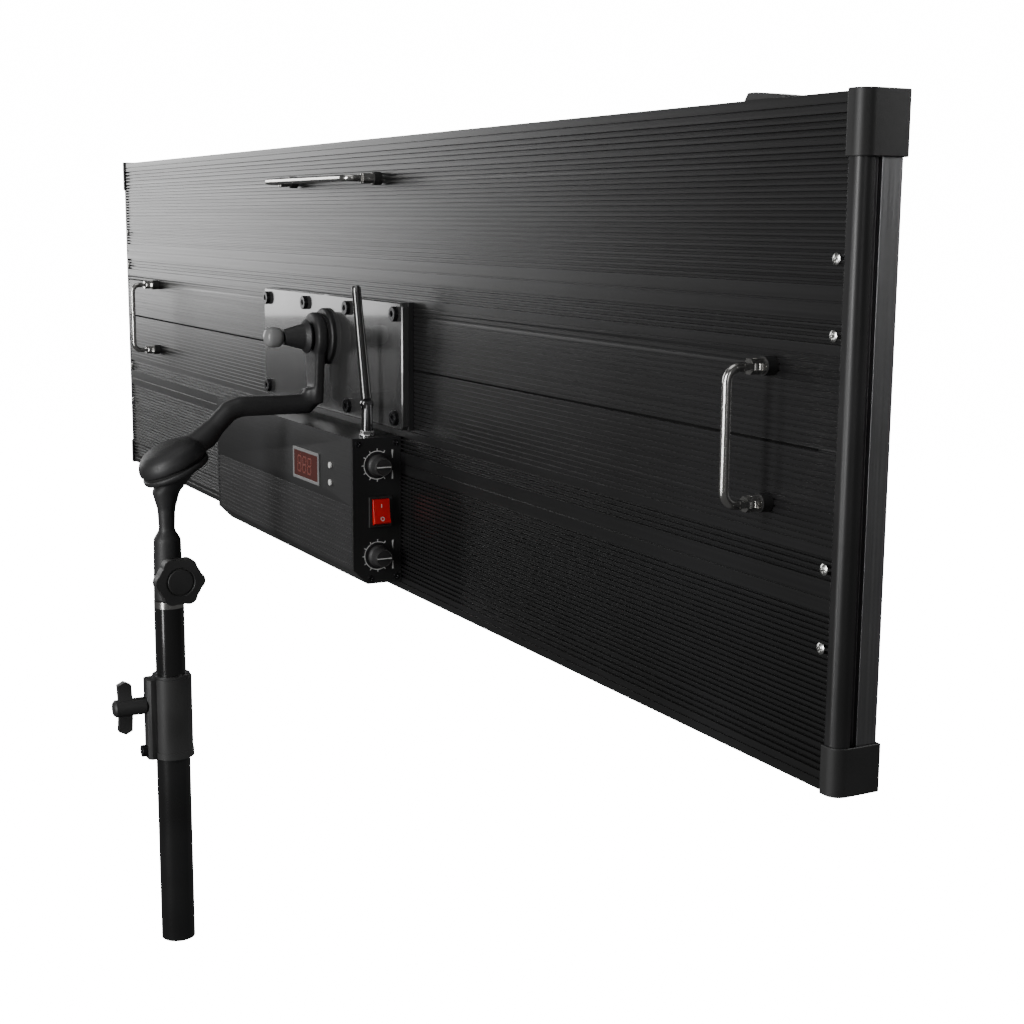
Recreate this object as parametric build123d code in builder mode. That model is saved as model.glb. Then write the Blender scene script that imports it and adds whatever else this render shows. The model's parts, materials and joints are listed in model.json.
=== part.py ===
from build123d import *

import os
from math import cos, hypot, radians, sin

# A long studio light panel on the top of its stand. Millimetres, +Z up. The pole's axis is
# X = Y = 0 and its foot is Z = 0. The panel shines towards -Y and is as long as X is wide.

# Clearances
running_gap = 0.05
screw_clearance = 0.1
hinge_gap = 0.15
swing_gap = 0.25

# Small round and hexagonal features are drawn with few sides.
octagon = 8
hexagon = 6
half_side = 22.5

# The panel
panel_length = 1200.0
panel_height = 316.0
panel_depth = 24.0
panel_setback = 136.0
skin = 4.5
rail_height = 14.0
rail_depth = 7.8
rail_round = 2.5
column_width = 9.0
column_flange = 18.0
column_radius = 6.0
bezel_wall = 3.0
bezel_gap = 3.8
bezel_lip = 12.0
bezel_lip_thickness = 1.8
bezel_round = 1.2
ledge_height = 2.5
ledge_thickness = 1.2
cap_wall = 1.2
cap_along = 10.0
cap_top = 28.0
cap_bottom = 22.5
diffuser_thickness = 2.0
diffuser_clearance = 0.5
board_inset = 30.0
board_height = 16.0
board_thickness = 1.6
led_rows = 6
leds_per_row = 24
led_size = 5.0
led_height = 1.6
sheet_thickness = 0.8
sheet_slot = 9.0
sheet_inset = 29.0
joiner_height = 20.0
retainer_inset = 92.0
retainer_length = 36.0
retainer_height = 4.0
retainer_width = 18.0
retainer_setback = 3.0
retainer_crest = 9.0
retainer_toe = 1.0

# Grooves of the back, as (width, depth)
fine_groove = (0.9, 0.7)
channel_groove = (1.8, 2.2)
fin_groove = (1.5, 1.9)
shoulder_groove = (1.7, 2.0)
rail_groove = (0.8, 1.0)
fine_pitch = 3.05
fine_count = 14
groove_count = 4
channel_pitch = 3.0
channel_start = 49.0
divider_at = 67.0
fin_start = 75.0
fin_pitch = 2.85
shoulder_pitch = 3.2
shoulder_inset = 19.4
rail_groove_inset = 5.2

# Folding handles
handle_span = 65.0
near_handle_inset = 57.6
far_handle_inset = 120.0
handle_rise = 3.0
top_handle_span = 165.0
top_handle_inset = 28.0
handle_base_radius = 4.6
handle_base_height = 6.0
handle_fork_radius = 4.0
handle_hinge_height = 10.6
handle_crown = 3.5
handle_reach = 15.4
handle_rod_radius = 2.3
handle_bend = 7.0
handle_tongue = 3.0
handle_eye_radius = 2.9
handle_pin_radius = 1.2
handle_pin_inset = 0.3
handle_stud = 3.6

# Mounting plate and roll joint
plate_length = 276.0
plate_height = 87.5
plate_thickness = 5.0
plate_rise = 2.3
plate_corner = 3.0
plate_chamfer = 0.8
plate_rail_thickness = 4.0
plate_rail_width = 20.0
plate_screw_end = 10.2
plate_screw_count = 4
plate_screw_edge = 7.95
plate_screw_radius = 3.0
plate_screw_head_radius = 5.2
plate_screw_head_height = 3.2
plate_screw_socket = 2.2
plate_screw_socket_depth = 2.0
roll_rise = 12.7
drum_radius = 18.0
roll_base_rim = 3.0
roll_base_chamfer = 1.2
roll_base_thickness = 4.0
roll_washer_thickness = 1.4
eye_thickness = 8.0
eye_chamfer = 1.0
spindle_radius = 6.0
spindle_length = 16.0
stem_radius = 13.0
stem_waist = 9.5
stem_end_radius = 5.6
stem_length = 21.0
stem_rim = 3.0
lock_radius = 7.6
lock_length = 15.0
lock_chamfer = 3.0

# Arm
arm_radius = 7.5
arm_clearance = 5.0
arm_drop_y = 20.5
arm_bend_y = 84.0
arm_bend = 6.0
arm_low_y = 118.0
arm_low_drop = 34.0
arm_low_radius = 12.5
neck_top_width = 26.0
neck_low_width = 16.0
neck_thickness = 7.5
swell_part = 0.6

# Inclined swivel and receiver, with heights from the pole's foot
swivel_y = 129.0
swivel_z = 362.5
swivel_drop = 41.0
swivel_tilt = 24.0
swivel_radius = 25.5
swivel_washer_thickness = 1.2
swivel_rim = 2.0
swivel_flange_thickness = 5.0
swivel_flange_chamfer = 1.5
swivel_pin_radius = 5.0
swivel_pin_length = 22.0
dome_height = 18.0
dome_steps = ((1.0, 0.33), (0.92, 0.6), (0.72, 0.83), (0.42, 0.96))
funnel_radius = 18.0
funnel_low_radius = 10.0
funnel_z = 343.5
receiver_waist_radius = 6.6
receiver_waist_z = 331.0
receiver_neck_radius = 5.9
receiver_neck_z = 316.0
receiver_shoulder_z = 309.0
receiver_taper = 1.0
receiver_z = 263.0
receiver_boss_radius = 8.0
receiver_boss_reach = 14.5
spigot_radius = 8.0
spigot_length = 38.0
spigot_chamfer = 1.0
spigot_plug = 30.0
receiver_knob_z = 282.4
receiver_knob_radius = 18.4
receiver_knob_lobes = 6
receiver_knob_lobe_radius = 6.5
receiver_knob_groove = 2.0
receiver_knob_face = 32.0
receiver_knob_thickness = 9.0
receiver_knob_hub = 12.5
receiver_knob_ring = (10.4, 9.2, 0.8)
receiver_stud_radius = 4.0

# Stand
riser_top = 258.0
riser_radius = 11.0
riser_wall = 1.5
riser_length = 202.0
tube_wall = 1.2
tube_clearance = 0.3
collar_top = 205.0
collar_bottom = 144.0
collar_wall = 2.5
collar_overlap = 34.0
collar_step = 0.5
collar_boss_reach = 5.0
collar_boss_width = 14.0
collar_rim = 0.6
collar_rim_height = 5.0
bushing_flange = 2.0
bushing_rim = 1.0
pad_radius = 5.0
wing_z = 185.0
wing_hub_gap = 0.4
wing_hub_length = 23.6
wing_hub_radius = 6.5
wing_hub_chamfer = 1.5
wing_reach = 20.0
wing_tip = 5.0
wing_thickness = 6.0
wing_round = 2.5
wing_stud_radius = 4.0
clamp_z = 150.0
clamp_screw_radius = 2.5
clamp_screw_head = (4.5, 4.0)
clamp_screw_socket = (2.0, 2.5)

# Control box
box_start = -116.0
box_end = 184.0
box_depth = 37.0
box_foot = 6.0
box_gap = 6.55
box_chamfer = 11.0
box_wall = 2.2
box_plate = 2.0
box_port = 3.0
box_port_inset = 4.2
box_rib = (1.0, 0.7)
box_rib_pitch = 3.2
box_rib_start = 14.0
box_ribs = 14
groove_gap = 0.1
groove_wall = 1.2
groove_lip = 2.4
dial_y = 18.3
upper_dial_drop = 19.4
lower_dial_rise = 20.1
dial_radius = 7.6
dial_skirt = 2.6
dial_cap_inset = 1.4
dial_length = 11.0
dial_gap = 0.6
dial_hollow = (5.4, 2.2)
dial_pointer = (9.0, 1.4, 0.9)
dial_pointer_offset = 2.4
dial_shaft_radius = 3.0
dial_shaft_start = 4.0
dial_shaft_length = 9.8
bush_radius = 3.6
bush_reach = 2.4
nut_radius = 5.2
nut_thickness = 1.8
can_radius = 8.0
can_length = 9.0
switch_y = 16.4
switch_drop = 0.75
switch_width = 17.5
switch_tall = 21.5
switch_rim = 1.8
switch_depth = 15.0
switch_edge = (1.6, 0.9)
rocker_width = 12.6
rocker_radius = 9.2
rocker_rest = 10.0
rocker_pivot = 0.5
rocker_gap = 0.2
rocker_valley = 2.8
rocker_ridge = 5.0
window_x = -27.2
window_drop = 30.2
window_length = 52.5
window_tall = 23.5
window_rim = 2.2
window_thickness = 0.8
window_sink = 0.5
window_seat = 1.0
button_x = -75.0
button_offsets = (6.6, -5.9)
button_radius = 2.2
button_proud = 1.0
button_collar = (1.0, 1.4)
button_back_gap = 1.6
button_foot = 4.0
board_setback = 17.0
board_inset_x = 20.0
control_board_length = 190.0
control_board_thickness = 1.6
board_block = (22.0, 30.0, 10.0)
board_blocks = ((30.0, -8.0), (62.0, 12.0))
antenna_inset = 10.0
antenna_y = 21.5
antenna_fold = 22.5
antenna_length = 105.0
antenna_lean = 5.2
antenna_radius = 3.85
antenna_tip_radius = 3.2
antenna_tongue = 2.8
antenna_stud = 2.0
antenna_pin = 1.2
antenna_flat = 0.6
socket_radius = 3.1
socket_flange = (5.6, 1.2)
socket_hex = (4.9, 2.8)
socket_depth = 6.0
inlet_radius = 5.5
inlet_rise = 34.0
inlet_depth = 12.0
inlet_flange = (1.8, 2.0)
inlet_bore = (3.2, 1.1, 10.0)

# Places worked out from the sizes above
half_length = panel_length / 2
half_height = panel_height / 2
board_length = panel_length - 2 * board_inset
plate_middle = half_height + plate_rise
roll_height = plate_middle + roll_rise
box_top = plate_middle - plate_height / 2 - box_gap
box_middle = (box_foot + box_top) / 2
arm_run_height = box_top + arm_clearance + arm_radius
swivel_height = arm_run_height - swivel_drop
panel_bottom = swivel_z - swivel_height
panel_top = panel_bottom + panel_height
seam_z = panel_bottom + half_height
back_y = -panel_setback
front_y = back_y - panel_depth
sink_half = half_length - column_width
inner_y = back_y - skin
board_face_y = inner_y - board_thickness
rail_y = back_y - rail_depth
roll_z = panel_bottom + roll_height
plate_z = panel_bottom + plate_middle
plate_back_y = back_y + plate_rail_thickness
plate_face_y = plate_back_y + plate_thickness
drum_y = plate_face_y + roll_base_thickness
eye_y = drum_y + roll_washer_thickness
eye_face_y = eye_y + eye_thickness
stem_y = eye_face_y + swing_gap
stem_end_y = stem_y + stem_length
swivel_origin = (0, back_y + swivel_y, swivel_z)
swivel_axis = (0, sin(radians(swivel_tilt)), cos(radians(swivel_tilt)))
swivel_plane = Plane(origin=swivel_origin, x_dir=(1, 0, 0), z_dir=swivel_axis)
washer_half = swivel_washer_thickness / 2
tube_radius = riser_radius + tube_clearance + tube_wall
necked_radius = tube_radius - collar_step
collar_bore = necked_radius + running_gap
collar_radius = tube_radius + collar_wall
boss_end = collar_radius + collar_boss_reach
pad_end = collar_radius + 1.0
tube_top = collar_bottom + collar_overlap
wing_start = boss_end + wing_hub_gap
wing_end = wing_start + wing_hub_length
box_face_y = back_y + box_depth
box_bottom_z = panel_bottom + box_foot
box_top_z = panel_bottom + box_top
housing_start = box_start + box_plate
housing_end = box_end - box_plate
dial_places = [
    (back_y + dial_y, box_top_z - upper_dial_drop),
    (back_y + dial_y, box_bottom_z + lower_dial_rise),
]
switch_z = sum(z for y, z in dial_places) / 2 - switch_drop
window_z = box_top_z - window_drop
button_places = [(button_x, window_z + offset) for offset in button_offsets]
board_back_y = box_face_y - board_setback
board_front_y = board_back_y + control_board_thickness
inlet_place = (back_y + box_depth / 2, box_bottom_z + inlet_rise)
antenna_x = box_start + antenna_inset
antenna_base_y = back_y + antenna_y
socket_top_z = box_top_z + socket_flange[1] + socket_hex[1]
fold_z = box_top_z + antenna_fold
hinge_y = back_y + handle_hinge_height
base_face_y = back_y + handle_base_height
bow_start = hypot(handle_fork_radius, handle_crown) + swing_gap
handle_z = seam_z + handle_rise
top_handle_z = panel_top - top_handle_inset
near_handle_x = near_handle_inset - half_length
far_handle_x = half_length - far_handle_inset
side_feet = [
    (x, handle_z + step * handle_span / 2) for x in (near_handle_x, far_handle_x) for step in (-1, 1)
]
top_feet = [(step * top_handle_span / 2, top_handle_z) for step in (-1, 1)]
feet = side_feet + top_feet
plate_screw_pitch = (plate_length - 2 * plate_screw_end) / (plate_screw_count - 1)
middle_screw = (plate_screw_count - 1) / 2
plate_screw_columns = [(i - middle_screw) * plate_screw_pitch for i in range(plate_screw_count)]
plate_screw_rows = [
    plate_z + step * (plate_height / 2 - plate_screw_edge) for step in (-1, 1)
]

os.makedirs("parts", exist_ok=True)


def across(y):
    # The upright plane at depth y: its x is X, its y is Z, and a negative extrusion goes to +Y.
    return Plane.XZ.offset(-y)


def upright(x):
    # The plane across the panel at x: its x is Y and its y is Z.
    return Plane.YZ.offset(x)


# ---------------------------------------------------------------- back extrusions


def rib_offsets():
    # Each groove of the extrusion, outwards from the seam, as (centre, width, depth).
    shoulder_start = half_height - shoulder_inset
    fin_count = int((shoulder_start - shoulder_pitch - fin_start) / fin_pitch) + 1
    lines = [(fine_pitch * (i + 1), *fine_groove) for i in range(fine_count)]
    channels = [(channel_start + channel_pitch * i, *channel_groove) for i in range(groove_count)]
    divider = [(divider_at, *fine_groove)]
    fins = [(fin_start + fin_pitch * i, *fin_groove) for i in range(fin_count)]
    shoulder = [(shoulder_start + shoulder_pitch * i, *shoulder_groove) for i in range(groove_count)]
    rail = [(half_height - rail_groove_inset, *rail_groove)]
    return lines + channels + divider + fins + shoulder + rail


def heatsink(side):
    # One of the two mirrored extrusions. side is 1 above the seam and -1 below it.
    edge_z = seam_z + side * half_height
    rail_z = edge_z - side * rail_height
    outline = [
        (back_y, seam_z),
        (back_y, edge_z),
        (rail_y, edge_z),
        (rail_y, rail_z),
        (inner_y, rail_z),
        (inner_y, seam_z),
    ]
    with BuildPart() as extrusion:
        with BuildSketch(upright(-sink_half)) as section:
            with BuildLine():
                Polyline(*outline, close=True)
            make_face()
            outer = section.vertices().sort_by_distance((-sink_half, back_y, edge_z))[0]
            chamfer(outer, length=rail_round)
            for centre, width, depth in rib_offsets():
                with Locations((back_y - depth / 2, seam_z + side * centre)):
                    Rectangle(depth, width, mode=Mode.SUBTRACT)
            with Locations((back_y, seam_z)):
                Rectangle(2 * fine_groove[1], 2 * fine_groove[0], mode=Mode.SUBTRACT)
        extrude(amount=2 * sink_half)
        row = plate_screw_rows[0 if side < 0 else 1]
        own_feet = [p for p in feet if side * (p[1] - seam_z) > 0]
        with BuildSketch(across(inner_y)):
            with Locations(*[(x, row) for x in plate_screw_columns]):
                RegularPolygon(plate_screw_radius + screw_clearance, octagon)
            with Locations(*own_feet):
                Rectangle(handle_stud + 2 * running_gap, handle_stud + 2 * running_gap)
        extrude(amount=-skin, mode=Mode.SUBTRACT)
    return extrusion


heatsink_upper = heatsink(1)
heatsink_upper.part.label = "heatsink_upper"
export_step(heatsink_upper.part, "parts/heatsink_upper.step")

heatsink_lower = heatsink(-1)
heatsink_lower.part.label = "heatsink_lower"
export_step(heatsink_lower.part, "parts/heatsink_lower.step")

# The strip inside that holds the two extrusions in line.
with BuildPart() as joining_strip:
    with BuildSketch(across(inner_y)):
        with Locations((0, seam_z)):
            Rectangle(board_length, joiner_height)
    extrude(amount=board_thickness)
joining_strip.part.label = "joining_strip"
export_step(joining_strip.part, "parts/joining_strip.step")

# ---------------------------------------------------------------- end columns


def end_column(end):
    # The upright profile that closes one end, with a flange tucked behind the skins.
    corner_x = end * half_length
    with BuildPart() as column:
        with BuildSketch(Plane.XY.offset(panel_bottom)) as section:
            with Locations((corner_x - end * column_width / 2, back_y - rail_depth / 2)):
                Rectangle(column_width, rail_depth)
            outer = section.vertices().sort_by_distance((corner_x, back_y, panel_bottom))[0]
            fillet(outer, radius=column_radius)
        extrude(amount=panel_height)
        with BuildSketch(Plane.XY.offset(panel_bottom + rail_height)):
            with Locations((end * (sink_half - column_flange / 2), (inner_y + rail_y) / 2)):
                Rectangle(column_flange, rail_depth - skin)
        extrude(amount=panel_height - 2 * rail_height)
    return column


end_column_near = end_column(-1)
end_column_near.part.label = "end_column_near"
export_step(end_column_near.part, "parts/end_column_near.step")

end_column_far = end_column(1)
end_column_far.part.label = "end_column_far"
export_step(end_column_far.part, "parts/end_column_far.step")

# ---------------------------------------------------------------- front bezel


def bezel_outline():
    # The bezel's section as (distance in from the panel's edge, Y): wall, leg, diffuser groove, lip.
    leg = 2 * bezel_wall
    lip_back = front_y + bezel_lip_thickness
    groove_back = lip_back + diffuser_thickness
    wall_back = rail_y - bezel_gap
    return [
        (0, wall_back),
        (bezel_wall, wall_back),
        (bezel_wall, rail_y),
        (leg, rail_y),
        (leg, groove_back + ledge_thickness),
        (leg + ledge_height, groove_back + ledge_thickness),
        (leg + ledge_height, groove_back),
        (leg, groove_back),
        (leg, lip_back),
        (bezel_lip, lip_back),
        (bezel_lip, front_y),
        (0, front_y),
    ]


def mitre(end_x, end_z, turn):
    # The 45 degree cut through one corner of the frame; what stays is on the plane's far side.
    return Plane(origin=(end_x, 0, end_z), x_dir=(0, 1, 0), z_dir=turn)


def long_bezel(edge_z, inward):
    with BuildPart() as bar:
        with BuildSketch(upright(-half_length)):
            with BuildLine():
                Polyline(*[(y, edge_z + inward * d) for d, y in bezel_outline()], close=True)
            make_face()
        extrude(amount=panel_length)
        split(bisect_by=mitre(half_length, edge_z, (1, 0, inward)), keep=Keep.BOTTOM)
        split(bisect_by=mitre(-half_length, edge_z, (-1, 0, inward)), keep=Keep.BOTTOM)
        front_edges = bar.edges().filter_by(Axis.X).group_by(Axis.Y)[0]
        outer_edge = front_edges.sort_by(Axis.Z)[0 if inward > 0 else -1]
        chamfer(outer_edge, length=bezel_round)
    return bar


def end_bezel(edge_x, inward):
    with BuildPart() as bar:
        with BuildSketch(Plane.XY.offset(panel_bottom)):
            with BuildLine():
                Polyline(*[(edge_x + inward * d, y) for d, y in bezel_outline()], close=True)
            make_face()
        extrude(amount=panel_height)
        split(bisect_by=mitre(edge_x, panel_top, (inward, 0, 1)), keep=Keep.BOTTOM)
        split(bisect_by=mitre(edge_x, panel_bottom, (inward, 0, -1)), keep=Keep.BOTTOM)
        front_edges = bar.edges().filter_by(Axis.Z).group_by(Axis.Y)[0]
        outer_edge = front_edges.sort_by(Axis.X)[0 if inward > 0 else -1]
        chamfer(outer_edge, length=bezel_round)
    return bar


bezel_top = long_bezel(panel_top, -1)
bezel_top.part.label = "bezel_top"
export_step(bezel_top.part, "parts/bezel_top.step")

bezel_bottom = long_bezel(panel_bottom, 1)
bezel_bottom.part.label = "bezel_bottom"
export_step(bezel_bottom.part, "parts/bezel_bottom.step")

bezel_near = end_bezel(-half_length, 1)
bezel_near.part.label = "bezel_near"
export_step(bezel_near.part, "parts/bezel_near.step")

bezel_far = end_bezel(half_length, -1)
bezel_far.part.label = "bezel_far"
export_step(bezel_far.part, "parts/bezel_far.step")

# ---------------------------------------------------------------- corner caps


def corner_cap(end, side, reach):
    # A moulded shell over one corner of the frame, reach high on the panel's end.
    edge_x = end * half_length
    inner_z = seam_z + side * (half_height - reach)
    middle_y = (back_y + front_y) / 2
    wide = cap_along + cap_wall
    with BuildPart() as shell:
        with BuildSketch(Plane.XY.offset(inner_z)) as outer:
            with Locations((edge_x + end * (cap_wall - wide / 2), middle_y)):
                Rectangle(wide, panel_depth + 2 * cap_wall)
            corners = outer.vertices().sort_by(Axis.X)
            outermost = (corners[-2:] if end > 0 else corners[:2]).sort_by(Axis.Y)
            fillet(outermost[-1], radius=column_radius + cap_wall)
            chamfer(outermost[0], length=bezel_round)
        extrude(amount=side * (reach + cap_wall))
        with BuildSketch(Plane.XY.offset(inner_z)) as hollow:
            with Locations((edge_x - end * cap_along, middle_y)):
                Rectangle(2 * cap_along, panel_depth)
            corner = hollow.vertices().sort_by_distance((edge_x, back_y, inner_z))[0]
            fillet(corner, radius=column_radius)
        extrude(amount=side * reach, mode=Mode.SUBTRACT)
    return shell


cap_shells = [
    corner_cap(end, side, reach) for end in (-1, 1) for side, reach in ((1, cap_top), (-1, cap_bottom))
]
with BuildPart() as corner_caps:
    for shell in cap_shells:
        add(shell.part)
corner_caps.part.label = "corner_caps"
export_step(corner_caps.part, "parts/corner_caps.step")

# ---------------------------------------------------------------- light source

with BuildPart() as diffuser:
    with BuildSketch(across(front_y + bezel_lip_thickness)):
        with Locations((0, seam_z)):
            Rectangle(
                panel_length - 4 * bezel_wall - 2 * diffuser_clearance,
                panel_height - 4 * bezel_wall - 2 * diffuser_clearance,
            )
    extrude(amount=-diffuser_thickness)
diffuser.part.label = "diffuser"
export_step(diffuser.part, "parts/diffuser.step")

row_pitch = (panel_height - 2 * rail_height) / led_rows
led_pitch = board_length / leds_per_row
with BuildPart() as led_boards:
    with BuildSketch(across(inner_y)):
        with Locations((0, seam_z)):
            with GridLocations(0, row_pitch, 1, led_rows):
                Rectangle(board_length, board_height)
    extrude(amount=board_thickness)
led_boards.part.label = "led_boards"
export_step(led_boards.part, "parts/led_boards.step")

with BuildPart() as led_emitters:
    with BuildSketch(across(board_face_y)):
        with Locations((0, seam_z)):
            with GridLocations(led_pitch, row_pitch, leds_per_row, led_rows):
                Rectangle(led_size, led_size)
    extrude(amount=led_height)
led_emitters.part.label = "led_emitters"
export_step(led_emitters.part, "parts/led_emitters.step")

with BuildPart() as reflector_sheet:
    with BuildSketch(across(board_face_y)):
        with Locations((0, seam_z)):
            Rectangle(panel_length - 2 * sheet_inset, panel_height - 2 * (rail_height + 1))
            with GridLocations(0, row_pitch, 1, led_rows):
                Rectangle(board_length - sheet_slot, sheet_slot, mode=Mode.SUBTRACT)
    extrude(amount=sheet_thickness)
reflector_sheet.part.label = "reflector_sheet"
export_step(reflector_sheet.part, "parts/reflector_sheet.step")

# ---------------------------------------------------------------- top retainer

# A wedge on the top edge, steep towards the middle and falling to the end.
wedge_x = retainer_inset - half_length
with BuildPart() as top_retainer:
    with BuildSketch(across(back_y - retainer_setback - retainer_width)):
        with BuildLine():
            Polyline(
                (wedge_x, panel_top),
                (wedge_x - retainer_crest / 3, panel_top + retainer_height),
                (wedge_x - retainer_crest, panel_top + retainer_height),
                (wedge_x - retainer_length, panel_top + retainer_toe),
                (wedge_x - retainer_length, panel_top),
                close=True,
            )
        make_face()
    extrude(amount=-retainer_width)
top_retainer.part.label = "top_retainer"
export_step(top_retainer.part, "parts/top_retainer.step")

# ---------------------------------------------------------------- folding handles

with BuildPart() as handle_bases:
    with BuildSketch(across(back_y)):
        with Locations(*feet):
            Circle(handle_base_radius)
            Rectangle(
                handle_stud + 2 * running_gap, handle_stud + 2 * running_gap, mode=Mode.SUBTRACT
            )
    extrude(amount=-handle_base_height)
handle_bases.part.label = "handle_bases"
export_step(handle_bases.part, "parts/handle_bases.step")

# A slotted post stands on each base. Its square stud goes through the skin, so it can't turn.
slot = handle_tongue + 2 * hinge_gap
ear_end = handle_fork_radius * cos(radians(half_side))
with BuildPart() as handle_forks:
    with BuildSketch(across(base_face_y)):
        with Locations(*feet):
            RegularPolygon(handle_fork_radius, octagon, rotation=half_side)
    extrude(amount=-(hinge_y + handle_crown - base_face_y))
    with BuildSketch(across(inner_y)):
        with Locations(*feet):
            Rectangle(handle_stud, handle_stud)
    extrude(amount=-(skin + handle_base_height))
    with BuildSketch(across(hinge_y - handle_fork_radius)):
        with Locations(*side_feet):
            Rectangle(4 * handle_fork_radius, slot)
        with Locations(*top_feet):
            Rectangle(slot, 4 * handle_fork_radius)
    extrude(amount=-4 * handle_fork_radius, mode=Mode.SUBTRACT)
    for x, z in side_feet:
        with BuildSketch(Plane.XY.offset(z - handle_fork_radius)):
            with Locations((x, hinge_y)):
                Circle(handle_pin_radius)
        extrude(amount=2 * handle_fork_radius, mode=Mode.SUBTRACT)
    for x, z in top_feet:
        with BuildSketch(upright(x - handle_fork_radius)):
            with Locations((hinge_y, z)):
                Circle(handle_pin_radius)
        extrude(amount=2 * handle_fork_radius, mode=Mode.SUBTRACT)
handle_forks.part.label = "handle_forks"
export_step(handle_forks.part, "parts/handle_forks.step")

pin_half = ear_end - handle_pin_inset
with BuildPart() as handle_pins:
    for x, z in side_feet:
        with BuildSketch(Plane.XY.offset(z - pin_half)):
            with Locations((x, hinge_y)):
                Circle(handle_pin_radius)
        extrude(amount=2 * pin_half)
    for x, z in top_feet:
        with BuildSketch(upright(x - pin_half)):
            with Locations((hinge_y, z)):
                Circle(handle_pin_radius)
        extrude(amount=2 * pin_half)
handle_pins.part.label = "handle_pins"
export_step(handle_pins.part, "parts/handle_pins.step")


def handle_bow(plane, span):
    # The bow in its own plane: x along the hinge axis, y outwards, both eyes on the x axis.
    half = span / 2
    tongue = bow_start + handle_eye_radius / 2
    with BuildPart() as bow:
        with BuildLine(plane) as path:
            FilletPolyline(
                (-half, bow_start),
                (-half, handle_reach),
                (half, handle_reach),
                (half, bow_start),
                radius=handle_bend,
            )
        with BuildSketch(Plane(path.wire() @ 0, z_dir=path.wire() % 0)):
            Circle(handle_rod_radius)
        sweep()
        with BuildSketch(plane.offset(-handle_rod_radius)):
            with Locations((-half, tongue / 2), (half, tongue / 2)):
                Rectangle(handle_tongue, tongue)
        extrude(amount=2 * handle_rod_radius)
        for at in (-half, half):
            eye = Plane(
                origin=plane.from_local_coords((at - handle_tongue / 2, 0, 0)),
                x_dir=plane.y_dir,
                z_dir=plane.x_dir,
            )
            with BuildSketch(eye):
                Circle(handle_eye_radius)
            extrude(amount=handle_tongue)
            with BuildSketch(eye):
                Circle(handle_pin_radius + running_gap)
            extrude(amount=handle_tongue, mode=Mode.SUBTRACT)
    return bow


def side_bow_plane(x):
    return Plane(origin=(x, hinge_y, handle_z), x_dir=(0, 0, 1), z_dir=(-1, 0, 0))


handle_bow_near = handle_bow(side_bow_plane(near_handle_x), handle_span)
handle_bow_near.part.label = "handle_bow_near"
export_step(handle_bow_near.part, "parts/handle_bow_near.step")

handle_bow_far = handle_bow(side_bow_plane(far_handle_x), handle_span)
handle_bow_far.part.label = "handle_bow_far"
export_step(handle_bow_far.part, "parts/handle_bow_far.step")

top_bow_plane = Plane(origin=(0, hinge_y, top_handle_z), x_dir=(1, 0, 0), z_dir=(0, 0, 1))
handle_bow_top = handle_bow(top_bow_plane, top_handle_span)
handle_bow_top.part.label = "handle_bow_top"
export_step(handle_bow_top.part, "parts/handle_bow_top.step")

# ---------------------------------------------------------------- mounting plate

plate_screws_at = [(x, z) for x in plate_screw_columns for z in plate_screw_rows]

with BuildPart() as plate_rails:
    end_rail = plate_length / 2 - plate_rail_width / 2
    rail_places = (-end_rail, plate_screw_columns[1], plate_screw_columns[2], end_rail)
    with BuildSketch(across(back_y)):
        with Locations(*[(x, plate_z) for x in rail_places]):
            Rectangle(plate_rail_width, plate_height)
        with Locations(*plate_screws_at):
            RegularPolygon(plate_screw_radius + screw_clearance, octagon, mode=Mode.SUBTRACT)
    extrude(amount=-plate_rail_thickness)
plate_rails.part.label = "plate_rails"
export_step(plate_rails.part, "parts/plate_rails.step")

with BuildPart() as mounting_plate:
    with BuildSketch(across(plate_back_y)) as outline:
        with Locations((0, plate_z)):
            Rectangle(plate_length, plate_height)
        chamfer(outline.vertices(), length=plate_corner)
        with Locations(*plate_screws_at):
            Circle(plate_screw_radius + screw_clearance, mode=Mode.SUBTRACT)
    extrude(amount=-plate_thickness)
    chamfer(mounting_plate.faces().sort_by(Axis.Y)[-1].outer_wire().edges(), length=plate_chamfer)
mounting_plate.part.label = "mounting_plate"
export_step(mounting_plate.part, "parts/mounting_plate.step")

with BuildPart() as plate_screws:
    with BuildSketch(across(inner_y)):
        with Locations(*plate_screws_at):
            RegularPolygon(plate_screw_radius, octagon)
    extrude(amount=-(plate_face_y - inner_y))
    with BuildSketch(across(plate_face_y)):
        with Locations(*plate_screws_at):
            Circle(plate_screw_head_radius)
    extrude(amount=-plate_screw_head_height)
    with BuildSketch(across(plate_face_y + plate_screw_head_height)):
        with Locations(*plate_screws_at):
            RegularPolygon(plate_screw_socket, hexagon)
    extrude(amount=plate_screw_socket_depth, mode=Mode.SUBTRACT)
plate_screws.part.label = "plate_screws"
export_step(plate_screws.part, "parts/plate_screws.step")

# ---------------------------------------------------------------- roll joint

with BuildPart() as roll_base:
    with BuildSketch(across(plate_face_y)):
        with Locations((0, roll_z)):
            Circle(drum_radius + roll_base_rim)
    extrude(amount=-roll_base_thickness)
    chamfer(roll_base.faces().sort_by(Axis.Y)[-1].edges(), length=roll_base_chamfer)
    with BuildSketch(across(drum_y)):
        with Locations((0, roll_z)):
            Circle(spindle_radius)
    extrude(amount=-spindle_length)
roll_base.part.label = "roll_base"
export_step(roll_base.part, "parts/roll_base.step")

with BuildPart() as roll_washer:
    with BuildSketch(across(drum_y)):
        with Locations((0, roll_z)):
            Circle(drum_radius - eye_chamfer)
            Circle(spindle_radius + running_gap, mode=Mode.SUBTRACT)
    extrude(amount=-roll_washer_thickness)
roll_washer.part.label = "roll_washer"
export_step(roll_washer.part, "parts/roll_washer.step")

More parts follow.
